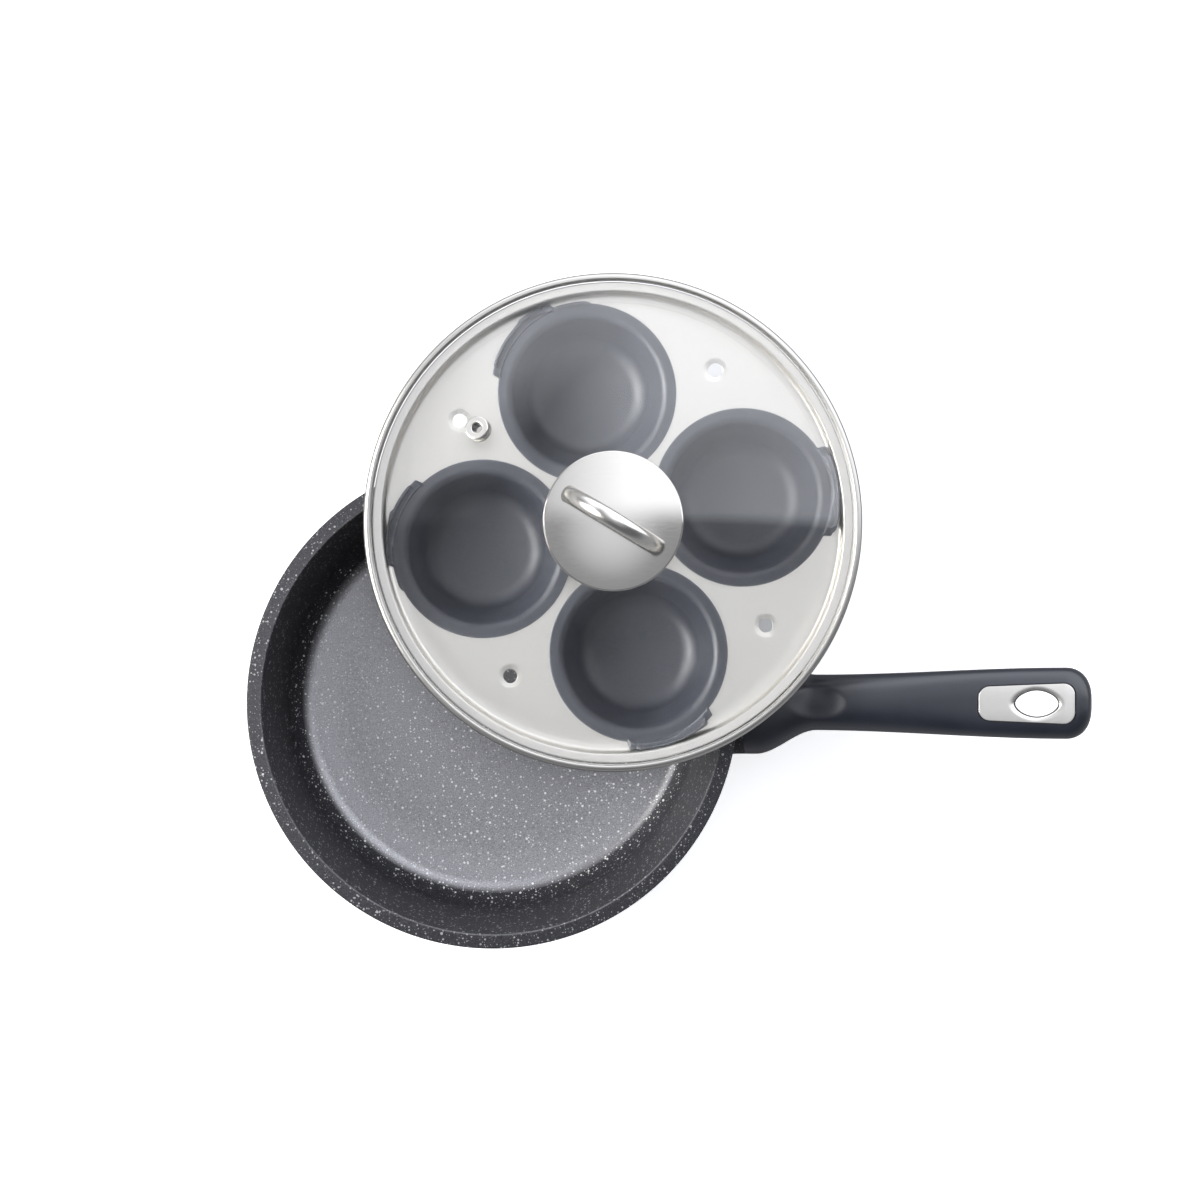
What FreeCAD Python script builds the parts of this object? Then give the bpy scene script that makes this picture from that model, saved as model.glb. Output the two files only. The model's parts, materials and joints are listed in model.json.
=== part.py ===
import FreeCAD, Part
import math
import os

# Egg poacher pan: a cast pan with a handle and, on its rim, a steel tray that carries
# the egg cups under a domed glass lid. The tray lies off-centre on the rim, with half
# of the cups hanging inside the pan and half outside it.
# Millimetres. The origin is the centre of the pan's base, +X runs along the handle.

vector = FreeCAD.Vector
origin = vector(0, 0, 0)
up = vector(0, 0, 1)
sideways = vector(0, 1, 0)
full_turn = 360.0
quarter_turn = full_turn / 4

# Pan
pan_rim_radius = 100.0
pan_height = 52.0
pan_floor_thickness = 4.0
pan_wall_thickness = 3.2
wall_lean = 9.6             # how far the wall leans out between floor and mouth
floor_corner_round = 9.0
lip_width = 5.9
lip_thickness = 3.0
lip_edge_round = 1.2
lip_round_share = 0.4       # of the lip's overhang, for the rounds under it
mouth_edge_round = 0.5

# Steel disc in the base
base_disc_inset = 12.5      # from the foot of the inner wall to the disc's edge
base_disc_thickness = 1.2
base_disc_gap = 0.1

# Handle, in its own frame: x from the lug's end face to the handle's end, z up
handle_length = 141.0
handle_drop = 17.0          # of the handle's root below the rim
handle_tilt = 12.0          # degrees, at the root
handle_bow = 9.0            # how far the end bends back down
handle_root_width = 42.6
handle_neck_width = 22.8
handle_end_width = 29.0
handle_root_thickness = 22.0
handle_neck_thickness = 17.0
handle_end_thickness = 15.0
flare_start = 4.0
flare_length = 25.0
end_corner_round = 10.2
end_edge_round = 4.4
section_power = 2.6         # 2 is an ellipse, more is squarer
section_points = 20
station_shares = (0, 0.03, 0.06, 0.09, 0.12, 0.15, 0.18, 0.21, 0.3, 0.45, 0.6, 0.75)
end_turn_shares = (0, 0.35, 0.6, 0.8, 0.93, 1)
shell_parting_drop = 2.0    # of the parting below the handle's middle
shell_parting_gap = 0.15
dimple_place = 31.0
dimple_length = 25.0
dimple_width = 15.0
dimple_depth = 2.0

# Lug, tongue and screw that carry the handle
lug_reach = 4.0             # of the lug's end face past the rim
tongue_length = 22.0
tongue_width = 15.0
tongue_thickness = 9.0
tongue_gap = 0.15
handle_screw_place = 13.0
handle_screw_radius = 2.5
handle_screw_bite = 6.0     # length in the tongue
handle_screw_gap = 0.1
handle_screw_head_radius = 4.5
handle_screw_head_height = 2.8
handle_screw_head_sink = 0.5
driver_slot_width = 1.2     # across the heads of both screws
driver_slot_depth = 1.0

# Steel insert at the handle's end, round the hanging hole
insert_end_margin = 6.7
insert_length = 38.4
insert_start_width = 13.4
insert_end_width = 16.6
insert_corner_round = 4.0
insert_thickness = 1.2
insert_gap = 0.1
hang_hole_inset = 15.3      # from the insert's end to the hole's centre
hang_hole_length = 18.2
hang_hole_width = 11.2
liner_thickness = 0.8

# Tray
tray_sheet = 0.6
tray_mouth_gap = 0.6        # between the tray's wall and the pan's mouth when seated
tray_recess = 10.0          # from the flange down to the floor
tray_bend_round = 1.2
tray_flange_bearing = 2.2   # how far the flange reaches over the pan's lip
hem_width = 1.3
hem_thickness = 1.4
hem_round = 0.4
steam_hole_radius = 2.85
steam_collar_radius = 4.0
steam_collar_depth = 0.8
steam_hole_inset = 18.7     # from the tray's wall to the hole's centre
tray_bearing = 56.2         # degrees: where the tray lies, seen from the pan's centre

# Cups
cup_count = 4
cup_gap = 3.4               # between the flanges of neighbouring cups
cup_sheet = 0.9
cup_depth = 22.0
cup_wall_lean = 28.0        # degrees from upright
cup_corner_round = 14.0
cup_mouth_round = 1.0
cup_flange_width = 5.4
cup_edge_round = 0.3
cup_hole_gap = 0.5          # between a cup and its hole in the tray
tab_length = 3.2            # past the flange
tab_wall_gap = 0.4          # to the tray's wall
tab_root = 1.5              # of the tab inside the flange's edge
tab_rise = 1.3
tab_lip_height = 1.2
tab_lip_width = 1.2
tab_angle = 57.0            # degrees along the flange
tab_bearings = (4.0, 141.0, 162.0, 292.5)   # degrees, as the cups were dropped in

# Lid
lid_overhang = 0.5          # of the lid past the pan's rim
lid_rim_width = 3.1
lid_rim_sheet = 0.7
lid_rim_round = 1.6
lid_rim_end_round = 0.3
glass_thickness = 4.0
glass_rise = 26.0
glass_margin_round = 10.0
glass_edge_gap = 0.2
glass_face_gap = 0.1
eyelet_reach = 65.8         # from the lid's centre
eyelet_bearing = 145.4      # degrees
eyelet_hole_radius = 2.0
eyelet_barrel_radius = 3.2
eyelet_flange_radius = 4.8
eyelet_flange_thickness = 1.0
eyelet_round = 0.4
eyelet_gap = 0.2

# Knob
knob_radius = 27.8
knob_crown = 1.2
knob_sheet = 1.6
knob_skirt = 3.4
knob_edge_round = 0.6
knob_boss_radius = 4.0
knob_gasket_radius = 9.0
knob_gasket_height = 3.4
knob_gasket_gap = 0.2
knob_face_gap = 0.05
knob_screw_radius = 2.0
knob_screw_gap = 0.1
knob_hole_gap = 1.0         # round the screw, in the glass
knob_screw_head_radius = 4.0
knob_screw_head_height = 2.4
knob_screw_head_round = 0.8
knob_seal_radius = 8.0
knob_seal_thickness = 1.2
knob_washer_radius = 9.5
knob_washer_thickness = 1.0
loop_radius = 20.5          # of the arch's middle line
loop_bar_width = 6.5
loop_bar_thickness = 5.0
loop_leg = 1.2              # straight end of the arch, sunk in the disc
loop_bearing = -30.2        # degrees

cut_overrun = 5.0
touching = 1e-6             # points closer than this are one point

# Places that follow from these sizes
mouth_radius = pan_rim_radius - lip_width
wall_foot_radius = mouth_radius - wall_lean
base_disc_radius = wall_foot_radius - base_disc_inset
tray_wall_radius = mouth_radius - tray_mouth_gap - tray_sheet
tray_flange_radius = mouth_radius + tray_flange_bearing
tray_floor_level = pan_height + tray_sheet
lid_seat_level = tray_floor_level + tray_recess
lid_radius = pan_rim_radius + lid_overhang

# The cups fill the tray: neighbours stand cup_gap apart and the tabs clear the wall.
ring_share = math.sin(math.pi / cup_count)
cup_room = tray_wall_radius - tab_wall_gap - tab_length - cup_gap / (2 * ring_share)
cup_flange_radius = cup_room * ring_share / (1 + ring_share)
cup_ring_radius = (cup_flange_radius + cup_gap / 2) / ring_share
cup_mouth_radius = cup_flange_radius - cup_flange_width
lean_share = math.tan(math.radians(cup_wall_lean))
cup_side = cup_sheet / math.cos(math.radians(cup_wall_lean))
cup_neck_radius = cup_mouth_radius + cup_side - cup_sheet * lean_share
cup_hole_radius = cup_neck_radius + cup_hole_gap
cup_level = tray_floor_level + cup_sheet

# The rim passes midway between the inner and the outer cups: their distances from the
# pan's centre add up to the lip's two radii, which puts the tray on an ellipse.
half_cup_step = cup_ring_radius * ring_share
lip_middle_radius = (mouth_radius + pan_rim_radius) / 2
lip_short_axis = math.sqrt(lip_middle_radius ** 2 - half_cup_step ** 2)
tray_offset = lip_middle_radius * math.sqrt(1 - (half_cup_step / lip_short_axis) ** 2)
first_cup_bearing = tray_bearing - full_turn / cup_count / 2

# The glass is a sphere that a reversed round joins to a flat margin.
margin_start = tray_wall_radius
dome_squares = margin_start ** 2 + (glass_margin_round - glass_rise) ** 2 - glass_margin_round ** 2
dome_radius = dome_squares / (2 * glass_rise)
dome_centre_level = lid_seat_level + glass_rise - dome_radius
glass_edge_radius = lid_radius - lid_rim_sheet - glass_edge_gap
glass_hole_radius = knob_screw_radius + knob_hole_gap
glass_inner_top = lid_seat_level + glass_rise
glass_outer_top = glass_inner_top + glass_thickness

knob_disc_under = glass_outer_top + knob_gasket_height
knob_disc_top = knob_disc_under + knob_sheet
seal_top = glass_inner_top - knob_seal_radius ** 2 / (2 * dome_radius) - knob_face_gap
washer_top = seal_top - knob_seal_thickness
knob_screw_head_top = washer_top - knob_washer_thickness


def around(radius, bearing, level):
    """The point at a radius, a bearing in degrees and a level."""
    angle = math.radians(bearing)
    return vector(radius * math.cos(angle), radius * math.sin(angle), level)


tray_centre = around(tray_offset, tray_bearing, 0)


def rounded_outline(corners):
    """A closed wire in the XZ plane through (x, z, round) corners."""
    places = [vector(x, 0, z) for x, z, corner_round in corners]
    turns = []
    for index, (x, z, corner_round) in enumerate(corners):
        place = places[index]
        back = (places[index - 1] - place).normalize()
        ahead = (places[(index + 1) % len(places)] - place).normalize()
        half_angle = back.getAngle(ahead) / 2
        trim = corner_round / math.tan(half_angle)
        bulge = corner_round / math.sin(half_angle) - corner_round
        middle = place + (back + ahead).normalize() * bulge
        turns.append((place + back * trim, middle, place + ahead * trim))
    edges = []
    for index, (start, middle, end) in enumerate(turns):
        if corners[index][2] > 0:
            edges.append(Part.Arc(start, middle, end).toShape())
        following = turns[(index + 1) % len(turns)][0]
        if end.distanceToPoint(following) > touching:
            edges.append(Part.LineSegment(end, following).toShape())
    return Part.Wire(edges)


def turned(corners, centre=origin):
    """A solid turned about the upright axis through a centre."""
    solid = Part.Face(rounded_outline(corners)).revolve(origin, up, full_turn)
    solid.translate(centre)
    return solid


def plug(radius, bottom, top, centre=origin):
    """An upright cylinder between two levels."""
    return Part.makeCylinder(radius, top - bottom, centre + up * bottom)


def ring(inner_radius, outer_radius, bottom, top, centre=origin):
    """An upright ring between two levels."""
    outer = plug(outer_radius, bottom, top, centre)
    return outer.cut(plug(inner_radius, bottom - cut_overrun, top + cut_overrun, centre))


def driver_slot(head_radius, head_under, centre):
    """The slot for a driver across the underside of a screw's head."""
    corner = vector(-head_radius - cut_overrun, -driver_slot_width / 2, head_under - cut_overrun)
    length = 2 * (head_radius + cut_overrun)
    return Part.makeBox(length, driver_slot_width, cut_overrun + driver_slot_depth, centre + corner)


def oval_plug(length, width, bottom, top, place):
    """An upright plug with an oval section, longest along X."""
    oval = Part.Ellipse(vector(place, 0, bottom), length / 2, width / 2)
    return Part.Face(Part.Wire(oval.toShape())).extrude(up * (top - bottom))


# Handle

def ease(share):
    """0 to 1 with a level start and a level end."""
    share = min(max(share, 0), 1)
    return share * share * (3 - 2 * share)


def handle_measure(place, root, neck, end):
    """A width or thickness of the handle: it narrows from the root to the neck, then widens."""
    neck_place = flare_start + flare_length
    flare = ease((place - flare_start) / flare_length)
    spread = ease((place - neck_place) / (handle_length - end_corner_round - neck_place))
    return root + (neck - root) * flare + (end - neck) * spread


def handle_width(place):
    return handle_measure(place, handle_root_width, handle_neck_width, handle_end_width)


def handle_thickness(place):
    return handle_measure(place, handle_root_thickness, handle_neck_thickness, handle_end_thickness)


def handle_middle(place):
    """The level of the handle's middle line, a parabola."""
    return -handle_bow * (place / handle_length) ** 2


def squared(value):
    """Pushes a circle's coordinate out towards a rounded square."""
    return math.copysign(abs(value) ** (2 / section_power), value)


def handle_section(place, half_width, half_thickness):
    """A closed rounded section across the handle."""
    points = []
    for index in range(section_points):
        turn = 2 * math.pi * index / section_points
        rise = half_thickness * squared(math.sin(turn))
        across = half_width * squared(math.cos(turn))
        points.append(vector(place, across, handle_middle(place) + rise))
    curve = Part.BSplineCurve()
    curve.interpolate(Points=points, PeriodicFlag=True)
    return Part.Wire(curve.toShape())


def make_handle_blank():
    """The whole handle in its own frame, with a rounded end."""
    sections = []
    for share in station_shares:
        place = share * handle_length
        sections.append(handle_section(place, handle_width(place) / 2, handle_thickness(place) / 2))
    for share in end_turn_shares:
        turn = math.radians(quarter_turn) * share
        place = handle_length - end_corner_round * (1 - math.sin(turn))
        half_width = handle_width(place) / 2 - end_corner_round * (1 - math.cos(turn))
        half_thickness = handle_thickness(place) / 2 - end_edge_round * (1 - math.cos(turn))
        sections.append(handle_section(place, half_width, half_thickness))
    return Part.makeLoft(sections, True, False)


def below_parting(shift):
    """The space below the parting between the two shells, moved up by a shift."""
    start = -cut_overrun
    end = handle_length + cut_overrun
    slope = -2 * handle_bow * start / handle_length ** 2
    lift = shift - shell_parting_drop
    first = vector(start, 0, handle_middle(start) + lift)
    last = vector(end, 0, handle_middle(end) + lift)
    pole = first + vector(1, 0, slope) * ((end - start) / 2)
    curve = Part.BezierCurve()
    curve.setPoles([first, pole, last])
    drop = vector(0, 0, handle_bow + handle_root_thickness)
    side = Part.makePolygon([last, last - drop, first - drop, first])
    face = Part.Face(Part.Wire([curve.toShape()] + side.Edges))
    face.translate(sideways * -handle_root_width)
    return face.extrude(sideways * (2 * handle_root_width))


insert_end = handle_length - insert_end_margin
insert_start = insert_end - insert_length
hang_hole_place = insert_end - hang_hole_inset
handle_low = handle_middle(handle_length) - handle_root_thickness
handle_high = handle_root_thickness


def insert_prism(gap):
    """The upright prism of the insert's outline, grown by a gap all round."""
    start_half = insert_start_width / 2 + gap
    end_half = insert_end_width / 2 + gap
    corner_round = insert_corner_round + gap
    outline = rounded_outline([
        (insert_start - gap, -start_half, corner_round),
        (insert_end + gap, -end_half, corner_round),
        (insert_end + gap, end_half, corner_round),
        (insert_start - gap, start_half, corner_round),
    ])
    outline.rotate(origin, vector(1, 0, 0), -quarter_turn)
    outline.translate(up * handle_middle(insert_end))
    return Part.Face(outline).extrude(up * (handle_high - handle_middle(insert_end)))


def hang_hole_plug(extra):
    """The hanging hole, grown by an extra all round."""
    length = hang_hole_length + 2 * extra
    width = hang_hole_width + 2 * extra
    return oval_plug(length, width, handle_low, handle_high, hang_hole_place)


def tongue_box(gap):
    """The tongue of the lug, grown by a gap."""
    half_width = tongue_width / 2 + gap
    half_thickness = tongue_thickness / 2 + gap
    start = vector(-lug_reach, -half_width, -half_thickness)
    length = lug_reach + tongue_length + gap
    return Part.makeBox(length, 2 * half_width, 2 * half_thickness, start)


handle_under = handle_middle(handle_screw_place) - handle_thickness(handle_screw_place) / 2
screw_head_bottom = handle_under + handle_screw_head_sink
screw_head_top = screw_head_bottom + handle_screw_head_height
screw_tip = handle_screw_bite - tongue_thickness / 2
screw_centre = vector(handle_screw_place, 0, 0)


def screw_room(gap):
    """The screw of the handle, grown by a gap, with its way in from below."""
    shank = plug(handle_screw_radius + gap, screw_head_bottom, screw_tip + gap, screw_centre)
    way_in = plug(handle_screw_head_radius + gap, handle_low, screw_head_top, screw_centre)
    return shank.fuse(way_in)


def make_handle_screw():
    shank = plug(handle_screw_radius, screw_head_bottom, screw_tip, screw_centre)
    head = plug(handle_screw_head_radius, screw_head_bottom, screw_head_top, screw_centre)
    screw = shank.fuse(head).removeSplitter()
    return screw.cut(driver_slot(handle_screw_head_radius, screw_head_bottom, screw_centre))


def make_dimple(blank_top):
    """An oval hollow for the thumb, from a unit ball."""
    matrix = FreeCAD.Matrix()
    matrix.scale(dimple_length / 2, dimple_width / 2, dimple_depth)
    hollow = Part.makeSphere(1).transformGeometry(matrix)
    hollow.translate(vector(dimple_place, 0, blank_top))
    return hollow


def make_handle():
    """The two shells, the insert and the screw of the handle, in its own frame."""
    blank = make_handle_blank()
    half_gap = shell_parting_gap / 2
    taken = tongue_box(tongue_gap).fuse(hang_hole_plug(liner_thickness + insert_gap))
    taken = taken.fuse(screw_room(handle_screw_gap))
    inner_skin = blank.copy()
    inner_skin.translate(up * -insert_thickness)
    plate = blank.common(insert_prism(0)).cut(inner_skin)
    inner_skin.translate(up * -insert_gap)
    recess = insert_prism(insert_gap).cut(inner_skin)
    liner = blank.common(hang_hole_plug(liner_thickness))
    insert = plate.fuse(liner).cut(hang_hole_plug(0)).removeSplitter()
    dimple_top = handle_middle(dimple_place) + handle_thickness(dimple_place) / 2
    grip = blank.cut(below_parting(half_gap)).cut(taken).cut(recess).cut(make_dimple(dimple_top))
    core = blank.common(below_parting(-half_gap)).cut(taken)
    return {
        "handle_grip": grip,
        "handle_core": core,
        "handle_end_insert": insert,
        "handle_screw": make_handle_screw(),
    }


root_place = vector(pan_rim_radius + lug_reach, 0, pan_height - handle_drop)
handle_frame = FreeCAD.Placement(root_place, FreeCAD.Rotation(sideways, -handle_tilt))


def on_pan(shape):
    """A shape from the handle's frame, set on the pan."""
    return shape.transformed(handle_frame.toMatrix())


# Pan

def make_lug():
    """The cast lug, trimmed inside the pan's wall, and its tongue with the tapped hole."""
    lug_depth = lug_reach + lip_width + wall_lean + pan_wall_thickness
    section = handle_section(0, handle_root_width / 2, handle_root_thickness / 2)
    lug = on_pan(Part.Face(section).extrude(vector(-lug_depth, 0, 0)))
    half_wall = pan_wall_thickness / 2
    inside = turned([
        (0, 0, 0),
        (wall_foot_radius + half_wall, 0, 0),
        (mouth_radius + half_wall, pan_height, 0),
        (0, pan_height, 0),
    ])
    tongue = tongue_box(0).cut(screw_room(handle_screw_gap))
    return lug.cut(inside).fuse(on_pan(tongue))


def make_pan_body():
    lip_under = pan_height - lip_thickness
    under_round = lip_round_share * (lip_width - pan_wall_thickness)
    shell = turned([
        (0, pan_floor_thickness, 0),
        (wall_foot_radius, pan_floor_thickness, floor_corner_round),
        (mouth_radius, pan_height, mouth_edge_round),
        (pan_rim_radius, pan_height, lip_edge_round),
        (pan_rim_radius, lip_under, under_round),
        (mouth_radius + pan_wall_thickness, lip_under, under_round),
        (wall_foot_radius + pan_wall_thickness, 0, floor_corner_round + pan_wall_thickness),
        (0, 0, 0),
    ])
    disc_room = plug(base_disc_radius + base_disc_gap, -cut_overrun, base_disc_thickness)
    return shell.fuse(make_lug()).cut(disc_room).removeSplitter()


def make_base_disc():
    return plug(base_disc_radius, 0, base_disc_thickness)


# Tray

def cup_centre(index):
    bearing = first_cup_bearing + index * full_turn / cup_count
    return tray_centre + around(cup_ring_radius, bearing, 0)


def steam_collar(centre):
    """The pressed collar of one steam hole, a cone of the tray's sheet."""
    low = tray_floor_level - steam_collar_depth
    return turned([
        (steam_collar_radius, tray_floor_level, 0),
        (steam_hole_radius, low, 0),
        (steam_hole_radius, low - tray_sheet, 0),
        (steam_collar_radius, tray_floor_level - tray_sheet, 0),
    ], centre)


def make_tray():
    floor_under = tray_floor_level - tray_sheet
    flange_under = lid_seat_level - tray_sheet
    hem_under = lid_seat_level - hem_thickness
    hem_inner = tray_flange_radius - hem_width
    wall_outer = tray_wall_radius + tray_sheet
    bend_outer = tray_bend_round + tray_sheet
    tray = turned([
        (0, tray_floor_level, 0),
        (tray_wall_radius, tray_floor_level, tray_bend_round),
        (tray_wall_radius, lid_seat_level, bend_outer),
        (tray_flange_radius, lid_seat_level, hem_round),
        (tray_flange_radius, hem_under, hem_round),
        (hem_inner, hem_under, hem_round),
        (hem_inner, flange_under, 0),
        (wall_outer, flange_under, tray_bend_round),
        (wall_outer, floor_under, bend_outer),
        (0, floor_under, 0),
    ], tray_centre)
    low = floor_under - cut_overrun
    high = tray_floor_level + cut_overrun
    steam_hole_reach = tray_wall_radius - steam_hole_inset
    for index in range(cup_count):
        tray = tray.cut(plug(cup_hole_radius, low, high, cup_centre(index)))
        bearing = tray_bearing + index * full_turn / cup_count
        steam_centre = tray_centre + around(steam_hole_reach, bearing, 0)
        tray = tray.cut(plug(steam_collar_radius, low, high, steam_centre))
        tray = tray.fuse(steam_collar(steam_centre))
    return tray.removeSplitter()


# Cups

def make_tab(bearing):
    """The raised finger tab, a stretch of a turned ring with an upright outer lip."""
    root_radius = cup_flange_radius - tab_root
    tab_radius = cup_flange_radius + tab_length
    lip_radius = tab_radius - tab_lip_width
    lip_top = tab_rise + tab_lip_height
    face = Part.Face(rounded_outline([
        (root_radius, -cup_sheet, 0),
        (cup_flange_radius, -cup_sheet, 0),
        (lip_radius, tab_rise - cup_sheet, 0),
        (tab_radius, tab_rise - cup_sheet, 0),
        (tab_radius, lip_top, 0),
        (lip_radius, lip_top, 0),
        (lip_radius, tab_rise, 0),
        (root_radius, 0, 0),
    ]))
    face.rotate(origin, up, bearing - tab_angle / 2)
    return face.revolve(origin, up, tab_angle)


def make_cup(index):
    """One pressed cup: a dished bowl, a flat flange and a tab."""
    corner_inner = cup_mouth_radius - cup_depth * lean_share
    corner_outer = cup_mouth_radius + cup_side - (cup_depth + cup_sheet) * lean_share
    bowl = turned([
        (0, -cup_depth, 0),
        (corner_inner, -cup_depth, cup_corner_round),
        (cup_mouth_radius, 0, cup_mouth_round),
        (cup_flange_radius, 0, cup_edge_round),
        (cup_flange_radius, -cup_sheet, cup_edge_round),
        (cup_neck_radius, -cup_sheet, 0),
        (corner_outer, -cup_depth - cup_sheet, cup_corner_round + cup_sheet),
        (0, -cup_depth - cup_sheet, 0),
    ])
    cup = bowl.fuse(make_tab(tab_bearings[index])).removeSplitter()
    cup.translate(cup_centre(index) + up * cup_level)
    return cup


# Lid

def dome_point(radius, offset):
    """A point of the glass at a radius, an offset outside its inner face."""
    height = math.sqrt((dome_radius + offset) ** 2 - radius ** 2)
    return vector(radius, 0, dome_centre_level + height)


def glass_face_edges(offset):
    """The half outline of one face of the glass, from the knob's hole to the margin."""
    dome_centre = vector(0, 0, dome_centre_level)
    round_centre = vector(margin_start, 0, lid_seat_level + glass_margin_round)
    towards_dome = (dome_centre - round_centre).normalize()
    round_radius = glass_margin_round - offset
    joint = round_centre + towards_dome * round_radius
    round_middle = round_centre + (towards_dome - up).normalize() * round_radius
    margin = round_centre - up * round_radius
    hole = dome_point(glass_hole_radius, offset)
    dome_middle = dome_point((glass_hole_radius + joint.x) / 2, offset)
    edge = vector(glass_edge_radius, 0, margin.z)
    return [
        Part.Arc(hole, dome_middle, joint).toShape(),
        Part.Arc(joint, round_middle, margin).toShape(),
        Part.LineSegment(margin, edge).toShape(),
    ]


eyelet_tilt = math.degrees(math.asin(eyelet_reach / (dome_radius + glass_thickness)))
eyelet_turn = FreeCAD.Rotation(up, eyelet_bearing).multiply(FreeCAD.Rotation(sideways, eyelet_tilt))
eyelet_normal = eyelet_turn.multVec(up)
dome_centre_place = tray_centre + up * dome_centre_level
eyelet_place = dome_centre_place + eyelet_normal * (dome_radius + glass_thickness)
eyelet_frame = FreeCAD.Placement(eyelet_place, eyelet_turn)


def on_dome(shape):
    """A shape about the upright axis, set square on the glass where the eyelet is."""
    return shape.transformed(eyelet_frame.toMatrix())


def make_lid_glass():
    inner = glass_face_edges(0)
    outer = glass_face_edges(glass_thickness)
    rim = Part.makePolygon([vector(glass_edge_radius, 0, lid_seat_level),
                            vector(glass_edge_radius, 0, lid_seat_level + glass_thickness)])
    hole = Part.makePolygon([dome_point(glass_hole_radius, 0),
                             dome_point(glass_hole_radius, glass_thickness)])
    outline = Part.Wire(Part.__sortEdges__(inner + rim.Edges + outer + hole.Edges))
    glass = Part.Face(outline).revolve(origin, up, full_turn)
    glass.translate(tray_centre)
    eyelet_hole = plug(eyelet_barrel_radius + eyelet_gap, -glass_thickness - cut_overrun, cut_overrun)
    return glass.cut(on_dome(eyelet_hole))


def make_lid_rim():
    """The rolled steel edge, a channel round the edge of the glass."""
    inner_radius = lid_radius - lid_rim_width
    slot_radius = lid_radius - lid_rim_sheet
    slot_bottom = lid_seat_level - glass_face_gap
    slot_top = lid_seat_level + glass_thickness + glass_face_gap
    return turned([
        (inner_radius, slot_bottom - lid_rim_sheet, lid_rim_end_round),
        (lid_radius, slot_bottom - lid_rim_sheet, lid_rim_round),
        (lid_radius, slot_top + lid_rim_sheet, lid_rim_round),
        (inner_radius, slot_top + lid_rim_sheet, lid_rim_end_round),
        (inner_radius, slot_top, lid_rim_end_round),
        (slot_radius, slot_top, 0),
        (slot_radius, slot_bottom, 0),
        (inner_radius, slot_bottom, lid_rim_end_round),
    ], tray_centre)


def make_lid_vent_eyelet():
    """A flanged tube through the glass; its lower flange clears the hollow face."""
    hollow = eyelet_flange_radius ** 2 / (2 * dome_radius)
    lower_face = -glass_thickness - hollow - glass_face_gap
    eyelet = turned([
        (eyelet_hole_radius, eyelet_flange_thickness, eyelet_round),
        (eyelet_flange_radius, eyelet_flange_thickness, eyelet_round),
        (eyelet_flange_radius, 0, 0),
        (eyelet_barrel_radius, 0, 0),
        (eyelet_barrel_radius, lower_face, 0),
        (eyelet_flange_radius, lower_face, 0),
        (eyelet_flange_radius, lower_face - eyelet_flange_thickness, eyelet_round),
        (eyelet_hole_radius, lower_face - eyelet_flange_thickness, eyelet_round),
    ])
    return on_dome(eyelet)


# Knob

def make_knob_loop(extra):
    """The arched bar with two short legs, its section grown by an extra all round."""
    oval = Part.Ellipse(origin, loop_bar_width / 2 + extra, loop_bar_thickness / 2 + extra)
    section = Part.Face(Part.Wire(oval.toShape()))
    section.rotate(origin, up, quarter_turn)
    section.translate(vector(loop_radius, 0, 0))
    loop = section.revolve(origin, sideways, -full_turn / 2)
    first_leg = section.extrude(up * -(loop_leg + extra))
    second_leg = first_leg.copy()
    second_leg.rotate(origin, up, full_turn / 2)
    loop = loop.fuse(first_leg).fuse(second_leg).removeSplitter()
    loop.rotate(origin, up, loop_bearing)
    loop.translate(tray_centre + up * knob_disc_top)
    return loop


def make_knob_disc():
    """A crowned cap with a turned-down edge, a tapped boss below and seats for the loop."""
    inner_radius = knob_radius - knob_sheet
    boss_under = glass_outer_top + knob_face_gap
    edge_under = knob_disc_top - knob_skirt
    cap = turned([
        (0, knob_disc_top, 0),
        (knob_radius, knob_disc_top, 0),
        (knob_radius, edge_under, knob_edge_round),
        (inner_radius, edge_under, knob_edge_round),
        (inner_radius, knob_disc_under - knob_crown, 0),
        (knob_gasket_radius, knob_disc_under, 0),
        (knob_boss_radius, knob_disc_under, 0),
        (knob_boss_radius, boss_under, 0),
        (0, boss_under, 0),
    ], tray_centre)
    crown_radius = (knob_radius ** 2 + knob_crown ** 2) / (2 * knob_crown)
    crown = Part.makeSphere(crown_radius, tray_centre + up * (knob_disc_top - crown_radius))
    tapped = plug(knob_screw_radius + knob_screw_gap, boss_under - cut_overrun,
                  knob_disc_under, tray_centre)
    return cap.common(crown).cut(tapped).cut(make_knob_loop(knob_face_gap))


def make_knob_gasket():
    return ring(knob_boss_radius + knob_gasket_gap, knob_gasket_radius,
                glass_outer_top, knob_disc_under, tray_centre)


def make_knob_seal():
    return ring(knob_screw_radius + knob_screw_gap, knob_seal_radius,
                washer_top, seal_top, tray_centre)


def make_knob_washer():
    return ring(knob_screw_radius + knob_screw_gap, knob_washer_radius,
                knob_screw_head_top, washer_top, tray_centre)


def make_knob_screw():
    tip = knob_disc_under - knob_screw_gap
    head_under = knob_screw_head_top - knob_screw_head_height
    screw = turned([
        (0, tip, 0),
        (knob_screw_radius, tip, 0),
        (knob_screw_radius, knob_screw_head_top, 0),
        (knob_screw_head_radius, knob_screw_head_top, 0),
        (knob_screw_head_radius, head_under, knob_screw_head_round),
        (0, head_under, 0),
    ], tray_centre)
    return screw.cut(driver_slot(knob_screw_head_radius, head_under, tray_centre))


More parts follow.
